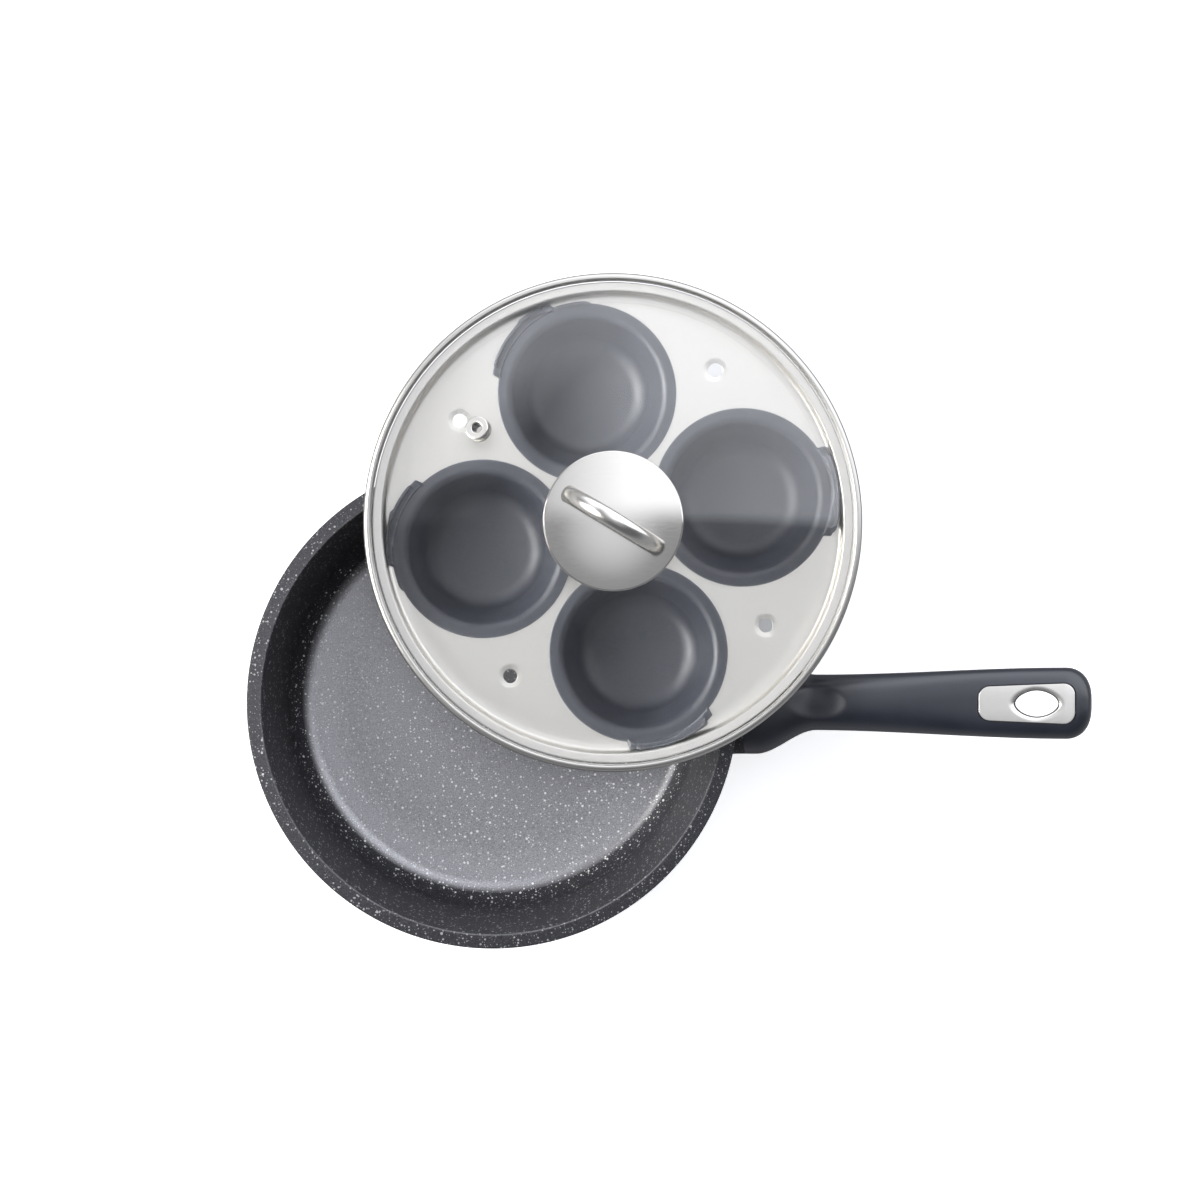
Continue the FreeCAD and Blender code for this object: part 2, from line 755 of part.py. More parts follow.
pieces = {
    "pan_body": make_pan_body(),
    "base_disc": make_base_disc(),
    "tray": make_tray(),
    "lid_glass": make_lid_glass(),
    "lid_rim": make_lid_rim(),
    "lid_vent_eyelet": make_lid_vent_eyelet(),
    "knob_disc": make_knob_disc(),
    "knob_loop": make_knob_loop(0),
    "knob_gasket": make_knob_gasket(),
    "knob_seal": make_knob_seal(),
    "knob_washer": make_knob_washer(),
    "knob_screw": make_knob_screw(),
}
for name, shape in make_handle().items():
    pieces[name] = on_pan(shape)
for index in range(cup_count):
    pieces["cup_" + str(index + 1)] = make_cup(index)

os.makedirs("parts", exist_ok=True)
for name, shape in pieces.items():
    shape.exportStep("parts/" + name + ".step")
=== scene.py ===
import json
import math

import bmesh
import bpy
import numpy as np
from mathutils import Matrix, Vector
from mathutils.geometry import delaunay_2d_cdt

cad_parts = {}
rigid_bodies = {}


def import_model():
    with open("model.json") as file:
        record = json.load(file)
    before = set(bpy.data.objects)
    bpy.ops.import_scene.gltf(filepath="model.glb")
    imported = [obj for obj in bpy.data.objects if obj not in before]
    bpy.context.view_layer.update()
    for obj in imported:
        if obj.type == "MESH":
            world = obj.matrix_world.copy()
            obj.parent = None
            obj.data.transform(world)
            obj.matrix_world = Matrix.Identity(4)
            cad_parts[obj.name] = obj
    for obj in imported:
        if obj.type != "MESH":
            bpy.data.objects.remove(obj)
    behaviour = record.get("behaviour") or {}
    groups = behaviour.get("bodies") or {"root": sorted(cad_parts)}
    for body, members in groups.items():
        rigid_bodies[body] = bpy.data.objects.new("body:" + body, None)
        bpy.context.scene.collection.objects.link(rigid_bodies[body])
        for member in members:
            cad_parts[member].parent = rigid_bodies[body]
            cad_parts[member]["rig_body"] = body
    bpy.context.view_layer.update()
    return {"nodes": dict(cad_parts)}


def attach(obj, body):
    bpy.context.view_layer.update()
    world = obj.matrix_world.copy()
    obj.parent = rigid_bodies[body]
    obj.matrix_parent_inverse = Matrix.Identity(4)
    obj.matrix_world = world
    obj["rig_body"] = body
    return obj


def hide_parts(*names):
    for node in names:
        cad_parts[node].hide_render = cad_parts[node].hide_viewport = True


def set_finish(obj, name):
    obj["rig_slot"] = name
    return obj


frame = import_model()
print("frame loaded:", len(frame["nodes"]), "nodes")

mm = 0.001  # the sizes of pieces are in millimetres
wearAndHighlightWidth = 0.45  # how far rubbed edges, and the highlight painted along the cups' edges, reach
noiseSpread = (0.3, 0.7)  # where most of a noise's values lie
weld, sliver = 2e-6, 1e-7  # in metres: points closer than weld are one, edges shorter than sliver go
layout = {"offset": 88.006, "bearing": 56.2}  # where the tray and lid lie on the rim, from the pan's centre


def aroundPoint(radius, bearing, level=0.0):
    # point at a radius, a bearing in degrees and a level
    angle = math.radians(bearing)
    return np.array([radius * math.cos(angle), radius * math.sin(angle), level])


setCentre = aroundPoint(layout["offset"], layout["bearing"])


def smoothStep(x):
    # 3x^2 - 2x^3 between 0 and 1, level outside
    x = np.clip(x, 0, 1)
    return x * x * (3 - 2 * x)


def roundedProfile(corners, closed=True, turnSteps=8, longest=3.0, edge=0.25):
    # straight runs between (x, z, round) corners; each corner is an arc tangent to its two runs,
    # and each run has a point close to both ends, so that smooth shading stays on the arcs
    places = np.array([corner[:2] for corner in corners], float)
    count = len(places)
    arcs = []
    for index, place in enumerate(places):
        cornerRound = corners[index][2]
        if cornerRound == 0:
            arcs.append(place[None])
            continue
        back = places[index - 1] - place
        ahead = places[(index + 1) % count] - place
        back /= np.linalg.norm(back)
        ahead /= np.linalg.norm(ahead)
        half = math.acos(np.clip(back @ ahead, -1, 1)) / 2
        inward = (back + ahead) / np.linalg.norm(back + ahead)
        centre = place + inward * cornerRound / math.sin(half)
        start = place + back * cornerRound / math.tan(half) - centre
        end = place + ahead * cornerRound / math.tan(half) - centre
        first = math.atan2(start[1], start[0])
        sweep = (math.atan2(end[1], end[0]) - first + math.pi) % (2 * math.pi) - math.pi
        angles = first + sweep * np.linspace(0, 1, turnSteps + 1)
        arcs.append(centre + cornerRound * np.stack([np.cos(angles), np.sin(angles)], 1))
    rows = []
    for index in range(count if closed else count - 1):
        start = arcs[index][-1]
        run = arcs[(index + 1) % count][0] - start
        length = np.linalg.norm(run)
        rows.append(arcs[index])
        if length > 4 * edge:
            steps = int(length / longest) + 2
            shares = np.linspace(edge / length, 1 - edge / length, steps)
            rows.append(start + run * shares[:, None])
    if not closed:
        rows.append(arcs[-1])
    return np.concatenate(rows)


def evenly(points, count, closed=True):
    # the same line with a number of points at equal distances along it
    line = np.concatenate([points, points[:1]]) if closed else points
    along = np.concatenate([[0], np.cumsum(np.linalg.norm(np.diff(line, axis=0), axis=1))])
    wanted = np.linspace(0, along[-1], count, endpoint=not closed)
    return np.stack([np.interp(wanted, along, column) for column in line.T], 1)


def gridFaces(rows, columns, closeRows=False, closeColumns=True):
    # quads between neighbouring rows and columns of a grid of points
    i = np.arange(rows if closeRows else rows - 1)[:, None]
    j = np.arange(columns if closeColumns else columns - 1)[None, :]
    nextI = (i + 1) % rows
    nextJ = (j + 1) % columns
    corners = [i * columns + j, i * columns + nextJ, nextI * columns + nextJ, nextI * columns + j]
    return np.stack(np.broadcast_arrays(*corners), -1).reshape(-1, 4)


def gridPart(points, closeRows=False, closeColumns=True):
    # a grid of points with its quads
    rows, columns = points.shape[:2]
    return points.reshape(-1, 3), gridFaces(rows, columns, closeRows, closeColumns)


def wearAndHighlightNear(line, places):
    # 1 at the given corners of a profile, falling off as exp(-(distance / width)^2), where width is how far rubbed
    # edges reach; it marks wear, and on the cups also a highlight painted along the edges
    away = np.linalg.norm(line[:, None, :] - np.array(places)[None], axis=2).min(1)
    return np.exp(-(away / wearAndHighlightWidth) ** 2)


def turnedGrid(profile, steps, centre=(0, 0, 0)):
    # a profile of (radius, level) turned about the upright axis: x = r cos t, y = r sin t, z = level
    turn = np.linspace(0, 2 * np.pi, steps, endpoint=False)[None, :]
    radius = profile[:, :1]
    level = profile[:, 1:2]
    grid = np.stack([radius * np.cos(turn), radius * np.sin(turn), level + 0 * turn], -1)
    return grid + np.asarray(centre, float)


def makePiece(name, parts, material, body, slotName, sharpAngle=40, faceUp=False, wearAndHighlight=None):
    # joins parts of (points, faces), welds their seams and poles, and turns the faces outwards;
    # the wear values say how worn each point is, from 0 to 1; on the cups they also set a highlight painted along
    # the edges
    points = []
    faces = []
    start = 0
    for partPoints, partFaces in parts:
        points.append(partPoints)
        faces.extend((partFaces + start).tolist())
        start += len(partPoints)
    mesh = bpy.data.meshes.new(name)
    mesh.from_pydata((np.concatenate(points) * mm).tolist(), [], faces)
    if wearAndHighlight is not None:
        mesh.attributes.new("wearAndHighlight", "FLOAT", "POINT").data.foreach_set("value", wearAndHighlight.ravel())
    work = bmesh.new()
    work.from_mesh(mesh)
    bmesh.ops.remove_doubles(work, verts=work.verts, dist=weld)
    bmesh.ops.dissolve_degenerate(work, edges=work.edges, dist=sliver)
    bmesh.ops.recalc_face_normals(work, faces=work.faces)
    if faceUp and sum(face.normal.z * face.calc_area() for face in work.faces) < 0:
        bmesh.ops.reverse_faces(work, faces=work.faces)
    work.to_mesh(mesh)
    work.free()
    mesh.shade_smooth()
    mesh.set_sharp_from_angle(angle=math.radians(sharpAngle))
    mesh.materials.append(material)
    piece = bpy.data.objects.new(name, mesh)
    bpy.context.scene.collection.objects.link(piece)
    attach(piece, body)
    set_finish(piece, slotName)
    return piece


def carve(piece, cutterParts, sharpAngle=40):
    # takes a closed cutter away from a piece, and keeps the result as the piece's own mesh
    cutter = makePiece("cutter", cutterParts, piece.data.materials[0], piece["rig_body"], piece["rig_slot"])
    cut = piece.modifiers.new("cut", "BOOLEAN")
    cut.operation = "DIFFERENCE"
    cut.solver = "EXACT"
    cut.object = cutter
    evaluated = piece.evaluated_get(bpy.context.evaluated_depsgraph_get())
    whole = piece.data
    piece.data = bpy.data.meshes.new_from_object(evaluated)
    piece.data.name = piece.name
    piece.modifiers.clear()
    bpy.data.objects.remove(cutter)
    bpy.data.meshes.remove(whole)
    piece.data.set_sharp_from_angle(angle=math.radians(sharpAngle))


def addNode(tree, kind, values=None, **settings):
    # a node with its settings; each input gets a value, or a link where a socket is given
    node = tree.nodes.new("ShaderNode" + kind)
    for key, value in settings.items():
        setattr(node, key, value)
    for key, value in (values or {}).items():
        if isinstance(value, bpy.types.NodeSocket):
            tree.links.new(value, node.inputs[key])
        else:
            node.inputs[key].default_value = value
    return node


def mathOf(tree, operation, *values):
    return addNode(tree, "Math", dict(enumerate(values)), operation=operation).outputs[0]


def newMaterial(name, colour, roughness, metallic=0.0, **sockets):
    # a Principled material with its constant values on its own sockets, and the Object coordinates
    material = bpy.data.materials.new(name)
    material.use_nodes = True
    tree = material.node_tree
    shader = tree.nodes["Principled BSDF"]
    shader.inputs["Base Color"].default_value = (*colour, 1.0)
    shader.inputs["Roughness"].default_value = roughness
    shader.inputs["Metallic"].default_value = metallic
    for key, value in sockets.items():
        shader.inputs[key.replace("_", " ")].default_value = value
    place = addNode(tree, "TexCoord").outputs["Object"]
    return material, tree, shader, place


def feed(tree, shader, **sockets):
    # links values to the shader's sockets, named with an underscore for a space
    for key, value in sockets.items():
        tree.links.new(value, shader.inputs[key.replace("_", " ")])


def noiseOf(tree, place, featureSize, detail=2.0, stretch=None):
    # noise with features of about this size in millimetres, drawn out along an axis by stretch
    if stretch:
        place = addNode(tree, "Mapping", {"Vector": place, "Scale": stretch}).outputs[0]
    scale = 1 / (featureSize * mm)
    return addNode(tree, "TexNoise", {"Vector": place, "Scale": scale, "Detail": detail}).outputs["Fac"]


def ranged(tree, value, fromLow, fromHigh, toLow, toHigh):
    # a value carried in a straight line from one range to another, and kept inside it
    values = {0: value, 1: fromLow, 2: fromHigh, 3: toLow, 4: toHigh}
    return addNode(tree, "MapRange", values).outputs[0]


def mixColours(tree, factor, first, second):
    # a mix of two colours, each three numbers or a socket
    def colour(value):
        return value if isinstance(value, bpy.types.NodeSocket) else (*value, 1.0)

    values = {0: factor, 6: colour(first), 7: colour(second)}
    return addNode(tree, "Mix", values, data_type="RGBA").outputs[2]


def addBump(tree, shader, height, depth, strength=0.5):
    # depth in millimetres between the lowest and highest value of height
    values = {"Height": height, "Distance": depth * mm, "Strength": strength}
    feed(tree, shader, Normal=addNode(tree, "Bump", values).outputs[0])


def paleWearAndHighlight(tree, colour, patches, pale):
    # a paler colour in patches along the edges, where the piece's own wear attribute says so: wear, and on the cups
    # a highlight painted along the mouth, step and lip
    worn = addNode(tree, "Attribute", attribute_name="wearAndHighlight").outputs["Fac"]
    return mixColours(tree, mathOf(tree, "MULTIPLY", worn, patches), colour, pale)


def specksOf(tree, place, cell, share, smallest, largest, shift, edge=0.1):
    # round specks in a share of the cells of a Voronoi pattern, each with a radius by its cell's own chance
    moved = addNode(tree, "VectorMath", {0: place, 1: (shift, shift, shift)}, operation="ADD").outputs[0]
    cells = addNode(tree, "TexVoronoi", {"Vector": moved, "Scale": 1 / (cell * mm)})
    chance = addNode(tree, "SeparateColor", {0: cells.outputs["Color"]}).outputs[0]
    size = ranged(tree, chance, 1 - share, 1.0, smallest / cell, largest / cell)
    inside = mathOf(tree, "SUBTRACT", size, cells.outputs["Distance"])
    mask = ranged(tree, inside, 0.0, edge / cell, 0.0, 1.0)
    return mathOf(tree, "MULTIPLY", mask, mathOf(tree, "GREATER_THAN", chance, 1 - share))


stoneFinish = {
    "dark": (0.014, 0.014, 0.0165), "light": (0.030, 0.030, 0.0355), "worn": (0.22, 0.22, 0.225),
    "roughness": (0.30, 0.38), "index": 2.7, "tint": (0.98, 0.97, 1.0),
    "mottle": 0.9, "mottleBand": (0.35, 0.68), "wornBand": (0.3, 0.6, 0.4, 1.0),
    "flake": 0.5, "flakeGain": (0.7, 1.3), "grain": 0.6, "grainDepth": 0.03,
    "glossTop": 4.35, "matteFrom": 5.7, "glossLevel": 0.86, "matteLevel": 0.09, "matteRise": 0.24,
    "speck": (0.8, 0.8, 0.78), "speckFrom": 5.0, "speckTo": 10.0, "speckFade": 0.36,
    "specks": (  # cell, share of the cells, smallest and largest radius, shift of the pattern, strength
        (0.62, 0.7, 0.06, 0.17, 0.013, 0.55), (1.05, 0.7, 0.15, 0.3, 0.071, 0.85),
        (1.7, 0.5, 0.32, 0.5, 0.127, 0.95), (2.6, 0.22, 0.44, 0.62, 0.291, 1.0)),
}


def stoneCoating():
    # dark non-stick coating with pale mineral specks of four sizes and a fine orange-peel bump; the floor
    # is glossier than the wall, where the specks are fainter
    finish = stoneFinish
    smooth, rough = finish["roughness"]
    material, tree, shader, place = newMaterial(
        "stoneCoating", finish["dark"], (smooth + rough) / 2, IOR=finish["index"],
        Specular_Tint=(*finish["tint"], 1.0))
    mottle = noiseOf(tree, place, finish["mottle"], detail=5.0)
    colour = mixColours(tree, ranged(tree, mottle, *finish["mottleBand"], 0, 1), finish["dark"], finish["light"])
    height = addNode(tree, "SeparateXYZ", {0: place}).outputs["Z"]
    shown = ranged(tree, height, finish["speckFrom"] * mm, finish["speckTo"] * mm, 1.0, finish["speckFade"])
    for *speckSizes, strength in finish["specks"]:
        mask = mathOf(tree, "MULTIPLY", specksOf(tree, place, *speckSizes), strength)
        colour = mixColours(tree, mathOf(tree, "MULTIPLY", mask, shown), colour, finish["speck"])
    colour = paleWearAndHighlight(tree, colour, ranged(tree, mottle, *finish["wornBand"]), finish["worn"])
    upTheWall = (tree, height, finish["glossTop"] * mm, finish["matteFrom"] * mm)
    rise = ranged(*upTheWall, 0.0, finish["matteRise"])
    level = ranged(*upTheWall, finish["glossLevel"], finish["matteLevel"])
    flake = ranged(tree, noiseOf(tree, place, finish["flake"]), *noiseSpread, *finish["flakeGain"])
    feed(tree, shader, Base_Color=colour, Specular_IOR_Level=mathOf(tree, "MULTIPLY", level, flake),
         Roughness=mathOf(tree, "ADD", ranged(tree, mottle, *noiseSpread, smooth, rough), rise))
    addBump(tree, shader, noiseOf(tree, place, finish["grain"], detail=3.0), finish["grainDepth"])
    return material


cupFinish = {
    # worn is the pale colour of rubbed edges, also used for a highlight painted along the mouth, step and lip
    "dark": (0.021, 0.023, 0.030), "light": (0.042, 0.045, 0.057), "worn": (0.14, 0.145, 0.16),
    "roughness": (0.42, 0.48), "level": 0.75, "grain": 0.45, "grainDepth": 0.006, "bump": 0.25,
    "grainBand": (0.3, 0.75), "patch": 0.9, "wornBand": (0.35, 0.65, 0.25, 1.0), "cloud": 9.0,
}


def cupCoating():
    # charcoal non-stick with a fine even grain, paler along its edges: rubbed wear together with a painted highlight
    finish = cupFinish
    smooth, rough = finish["roughness"]
    material, tree, shader, place = newMaterial(
        "cupCoating", finish["dark"], (smooth + rough) / 2, Specular_IOR_Level=finish["level"])
    grain = noiseOf(tree, place, finish["grain"])
    colour = mixColours(tree, ranged(tree, grain, *finish["grainBand"], 0, 1), finish["dark"], finish["light"])
    patches = ranged(tree, noiseOf(tree, place, finish["patch"], detail=3.0), *finish["wornBand"])
    colour = paleWearAndHighlight(tree, colour, patches, finish["worn"])
    cloud = noiseOf(tree, place, finish["cloud"])
    feed(tree, shader, Base_Color=colour, Roughness=ranged(tree, cloud, *noiseSpread, smooth, rough))
    addBump(tree, shader, grain, finish["grainDepth"], finish["bump"])
    return material


softFinish = {
    "colour": (0.0068, 0.0086, 0.0165), "worn": (0.0098, 0.012, 0.022),
    "roughness": (0.29, 0.34), "level": 0.98, "skin": 0.35, "skinDepth": 0.025, "bump": 0.6,
    "cloud": 14.0, "cloudBand": (0.3, 0.75),
}


def softTouch():
    # blue-grey soft-touch rubber with a fine skin
    finish = softFinish
    smooth, rough = finish["roughness"]
    material, tree, shader, place = newMaterial(
        "softTouch", finish["colour"], (smooth + rough) / 2, Specular_IOR_Level=finish["level"])
    cloud = noiseOf(tree, place, finish["cloud"], detail=3.0)
    colour = mixColours(tree, ranged(tree, cloud, *finish["cloudBand"], 0, 1), finish["colour"], finish["worn"])
    feed(tree, shader, Base_Color=colour, Roughness=ranged(tree, cloud, *noiseSpread, smooth, rough))
    addBump(tree, shader, noiseOf(tree, place, finish["skin"]), finish["skinDepth"], finish["bump"])
    return material


dullFinishes = {  # mean, darkest and palest colour, roughness, size, detail and depth of the grain
    "mouldedPlastic": ((0.017, 0.0175, 0.02), (0.014, 0.0145, 0.017), (0.024, 0.025, 0.028), 0.45, 0.5, 2.0, 0.04),
    "sealRubber": ((0.03, 0.03, 0.03), (0.022, 0.022, 0.022), (0.045, 0.045, 0.045), 0.6, 0.8, 3.0, 0.03),
}


def dullFinish(name):
    # black plastic with a spark-eroded grain, or dark rubber with a trace of dust
    colour, dark, pale, roughness, featureSize, detail, depth = dullFinishes[name]
    material, tree, shader, place = newMaterial(name, colour, roughness)
    grain = noiseOf(tree, place, featureSize, detail)
    feed(tree, shader, Base_Color=mixColours(tree, grain, dark, pale))
    addBump(tree, shader, grain, depth)
    return material


steelFinishes = {  # colour, least and greatest roughness, stretch, size and depth of the marks
    "satinSteel": ((0.74, 0.715, 0.665), 0.29, 0.34, (0.3, 1, 1), 0.5, 0.0004),
    "polishedSteel": ((0.63, 0.61, 0.575), 0.07, 0.11, (0.2, 1, 1), 0.8, 0.0006),
    "satinBar": ((0.70, 0.68, 0.64), 0.2, 0.25, (0.4, 1, 1), 0.6, 0.0003),
    "rimSteel": ((0.58, 0.565, 0.535), 0.3, 0.35, (0.2, 1, 1), 0.8, 0.0003),
    "satinPlate": ((0.83, 0.81, 0.765), 0.29, 0.33, (0.4, 1, 1), 1.2, 0.00008),
    "plainSteel": ((0.62, 0.615, 0.61), 0.25, 0.38, (1, 1, 1), 0.6, 0.01),
}


def steelFinish(name, colour, smooth, rough, stretch, featureSize, depth, brighter=1.06):
    # steel with fine marks drawn out along one axis; the marks vary its gloss and bump it a little
    material, tree, shader, place = newMaterial(name, colour, smooth, metallic=1.0)
    marks = noiseOf(tree, place, featureSize, detail=4.0, stretch=stretch)
    pale = tuple(min(1.0, brighter * value) for value in colour)
    feed(tree, shader, Base_Color=mixColours(tree, marks, colour, pale),
         Roughness=ranged(tree, marks, *noiseSpread, smooth, rough))
    addBump(tree, shader, marks, depth)
    return material


discFinish = {
    "colour": (0.58, 0.58, 0.585), "stained": (0.5, 0.5, 0.505), "clean": (0.66, 0.655, 0.65), "stain": 22.0,
    "meanRoughness": 0.34, "roughness": (0.28, 0.42), "rings": 420.0, "waver": 0.4, "ringDepth": 0.03,
}


def turnedSteel():
    # the base disc's steel, with the rings that facing it on a lathe leaves
    finish = discFinish
    material, tree, shader, place = newMaterial(
        "turnedSteel", finish["colour"], finish["meanRoughness"], metallic=1.0)
    wave = {"Vector": place, "Scale": finish["rings"], "Distortion": finish["waver"], "Detail": 1.0}
    rings = addNode(tree, "TexWave", wave, wave_type="RINGS", rings_direction="Z").outputs["Fac"]
    stain = noiseOf(tree, place, finish["stain"], detail=4.0)
    feed(tree, shader, Base_Color=mixColours(tree, stain, finish["stained"], finish["clean"]),
         Roughness=ranged(tree, rings, 0, 1, *finish["roughness"]))
    addBump(tree, shader, rings, finish["ringDepth"])
    return material


glassFinish = {
    "colour": (0.98, 0.985, 0.985), "filmed": (0.975, 0.978, 0.978), "clean": (0.99, 0.99, 0.99),
    "shadow": (0.96, 0.965, 0.965), "index": 1.5, "film": 30.0,
}


def clearGlass():
    # clear tempered glass; rays from lamps pass straight through, so what it covers is lit
    finish = glassFinish
    material, tree, shader, place = newMaterial(
        "clearGlass", finish["colour"], 0.0, Transmission_Weight=1.0, IOR=finish["index"])
    film = noiseOf(tree, place, finish["film"], detail=3.0)
    feed(tree, shader, Base_Color=mixColours(tree, film, finish["filmed"], finish["clean"]))
    passing = addNode(tree, "BsdfTransparent", {"Color": (*finish["shadow"], 1.0)})
    shadowRay = addNode(tree, "LightPath").outputs["Is Shadow Ray"]
    mixed = addNode(tree, "MixShader", {0: shadowRay, 1: shader.outputs[0], 2: passing.outputs[0]})
    feed(tree, tree.nodes["Material Output"], Surface=mixed.outputs[0])
    return material


stoneMaterial = stoneCoating()
cupMaterial = cupCoating()
softMaterial = softTouch()
plasticMaterial = dullFinish("mouldedPlastic")
steel = {name: steelFinish(name, *values) for name, values in steelFinishes.items()}
discSteel = turnedSteel()
rubberMaterial = dullFinish("sealRubber")
glassMaterial = clearGlass()
print("materials made:", len(bpy.data.materials))


pan = {
    "rim": 100.0, "height": 52.0, "floor": 3.75, "wall": 3.2, "lean": 9.6, "corner": 11.0,
    "dome": 0.6, "dishFrom": 66.0, "dishRise": 0.75, "dishRound": 250.0,
    "lip": 5.9, "lipThick": 3.2, "lipFall": 1.0, "mouthRound": 0.7, "lipRound": 0.6, "underRound": 0.55,
    "disc": 72.1, "discDepth": 1.2, "discEdge": 0.3, "wearAndHighlight": 0.7, "turns": 288,
}
mouth = pan["rim"] - pan["lip"]
wallFoot = mouth - pan["lean"]
lipUnder = pan["height"] - pan["lipThick"]
panProfile = roundedProfile([
    (0, pan["floor"], 0),
    (pan["dishFrom"], pan["floor"], pan["dishRound"]),
    (wallFoot, pan["floor"] + pan["dishRise"], pan["corner"]),
    (mouth, pan["height"], pan["mouthRound"]),
    (pan["rim"], pan["height"] - pan["lipFall"], pan["lipRound"]),
    (pan["rim"], lipUnder, pan["underRound"]),
    (mouth + pan["wall"], lipUnder, pan["underRound"]),
    (wallFoot + pan["wall"], 0, pan["corner"] + pan["wall"]),
    (pan["disc"], 0, pan["discEdge"]),
    (pan["disc"], pan["discDepth"], 0),
    (0, pan["discDepth"], 0),
], closed=False, turnSteps=12, longest=4.0)
# the floor stands up a little in the middle: dome (1 - r^2)^2, where r goes from 0 to 1 at the dish's start
above = panProfile[:, 1] > (pan["floor"] + pan["discDepth"]) / 2
outwards = np.clip(panProfile[:, 0] / pan["dishFrom"], 0, 1)
panProfile[:, 1] += above * pan["dome"] * (1 - outwards ** 2) ** 2
mouthWearAndHighlight = pan["wearAndHighlight"] * wearAndHighlightNear(panProfile, [(mouth, pan["height"])])
panWear = np.repeat(mouthWearAndHighlight[:, None], pan["turns"], 1)
panShell = makePiece("panShell", [gridPart(turnedGrid(panProfile, pan["turns"]))],
                     stoneMaterial, "pan", "stone_coating", wearAndHighlight=panWear)
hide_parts("pan_body")

handle = {
    "reach": 4.0, "drop": 17.0, "tilt": 12.0, "length": 140.2, "bow": 9.0,
    "rootWidth": 42.6, "neckWidth": 22.8, "endWidth": 29.0,
    "rootThick": 22.0, "neckThick": 17.0, "endThick": 15.0,
    "flareStart": 4.0, "flareLength": 25.0,
    "endCorner": 10.2, "endDraw": 11.8, "endEdge": 4.4, "endTurn": 2.2,
    "power": 2.15, "endPower": 2.9, "squareFrom": 55.0, "squareOver": 45.0,
    "partingDrop": 2.0, "partingGap": 0.3, "partingRound": 0.35, "partingAngle": 50.0,
    "dimplePlace": 31.0, "dimpleLength": 25.0, "dimpleWidth": 15.0, "dimpleDepth": 0.9,
    "lugSwell": 2.6, "rootCap": (0, 0.5, 0.97, 1), "wallCap": (0.66, 0.33, 0), "pushRounds": 6,
    "around": 96, "sections": 170, "endSections": 24, "lugSections": 14, "chordPoints": 12, "capRows": 5,
}


def ontoPan(points):
    # from the handle's own frame, tilted at the lug's end face, into the pan's
    tilt = math.radians(handle["tilt"])
    u, y, w = points[..., 0], points[..., 1], points[..., 2]
    x = pan["rim"] + handle["reach"] + u * math.cos(tilt) - w * math.sin(tilt)
    z = pan["height"] - handle["drop"] + u * math.sin(tilt) + w * math.cos(tilt)
    return np.stack([x, y, z], -1)


def handleMiddle(place):
    # level of the handle's middle line, which bends down as the square of the way along
    return -handle["bow"] * (place / handle["length"]) ** 2


def handleHalves(place):
    # half width and half thickness: root to neck, neck to end, then a quarter turn at the end
    neckPlace = handle["flareStart"] + handle["flareLength"]
    turnStart = handle["length"] - handle["endCorner"]
    flare = smoothStep((place - handle["flareStart"]) / handle["flareLength"])
    spread = smoothStep((place - neckPlace) / (turnStart - neckPlace))
    turn = np.clip((place - turnStart) / handle["endCorner"], 0, 1)
    inward = 1 - (1 - turn ** handle["endTurn"]) ** (1 / handle["endTurn"])
    width, thick = (
        handle["root" + size] + (handle["neck" + size] - handle["root" + size]) * flare
        + (handle["end" + size] - handle["neck" + size]) * spread for size in ("Width", "Thick"))
    return width / 2 - handle["endDraw"] * inward, thick / 2 - handle["endEdge"] * inward


def sectionPower(place):
    # the section's squareness, which grows over the middle of the handle
    growth = smoothStep((place - handle["squareFrom"]) / handle["squareOver"])
    return handle["power"] + (handle["endPower"] - handle["power"]) * growth


def squared(value, power):
    # pushes a circle's coordinate towards a rounded square: sign(v) |v|^(2 / power)
    return np.sign(value) * np.abs(value) ** (2 / power)


def skinLevel(place, across, side):
    # level of the handle's skin above (side 1) or below (side -1) a point of its plan
    halfWidth, halfThick = handleHalves(place)
    power = sectionPower(place)
    share = np.clip(np.abs(across) / halfWidth, 0, 1)
    return handleMiddle(place) + side * halfThick * (1 - share ** power) ** (1 / power)


def shellGrid(upper):
    # one shell: an arc of the superellipse section above or below the parting, closed by a flat chord,
    # carried along the handle; the first and last sections shrink to a point
    turnStart = handle["length"] - handle["endCorner"]
    endTurn = np.linspace(0, np.pi / 2, handle["endSections"])[1:]
    place = np.concatenate([np.linspace(0, turnStart, handle["sections"]),
                            turnStart + handle["endCorner"] * np.sin(endTurn)])
    halfWidth, halfThick = (half[:, None] for half in handleHalves(place))
    level = handle["partingGap"] / 2 * (1 if upper else -1) - handle["partingDrop"]
    power = sectionPower(place)[:, None]
    dip = np.arcsin((np.abs(level) / halfThick) ** (power / 2))
    first, last = (-dip, np.pi + dip) if upper else (np.pi + dip, 2 * np.pi - dip)
    angle = first + (last - first) * np.linspace(0, 1, handle["around"])
    across = halfWidth * squared(np.cos(angle), power)
    rise = halfThick * squared(np.sin(angle), power)
    chord = np.linspace(0, 1, handle["chordPoints"] + 2)[1:-1]
    acrossChord = across[:, -1:] + (across[:, :1] - across[:, -1:]) * chord
    across = np.concatenate([across, acrossChord], 1)
    rise = np.concatenate([rise, np.full_like(acrossChord, level)], 1)
    u = np.repeat(place[:, None], across.shape[1], 1)
    if upper:
        hollow = (2 * (u - handle["dimplePlace"]) / handle["dimpleLength"]) ** 2
        hollow = 1 - hollow - (2 * across / handle["dimpleWidth"]) ** 2
        rise = rise - handle["dimpleDepth"] * smoothStep(hollow) * (rise > 0)
    grid = np.stack([u, across, rise + handleMiddle(u)], -1)
    shrink = np.linspace(1, 0, handle["capRows"] + 1)[1:, None, None]
    rootCap, endCap = (section.mean(0) + (section - section.mean(0)) * shrink for section in (grid[0], grid[-1]))
    return np.concatenate([rootCap[::-1], grid, endCap])


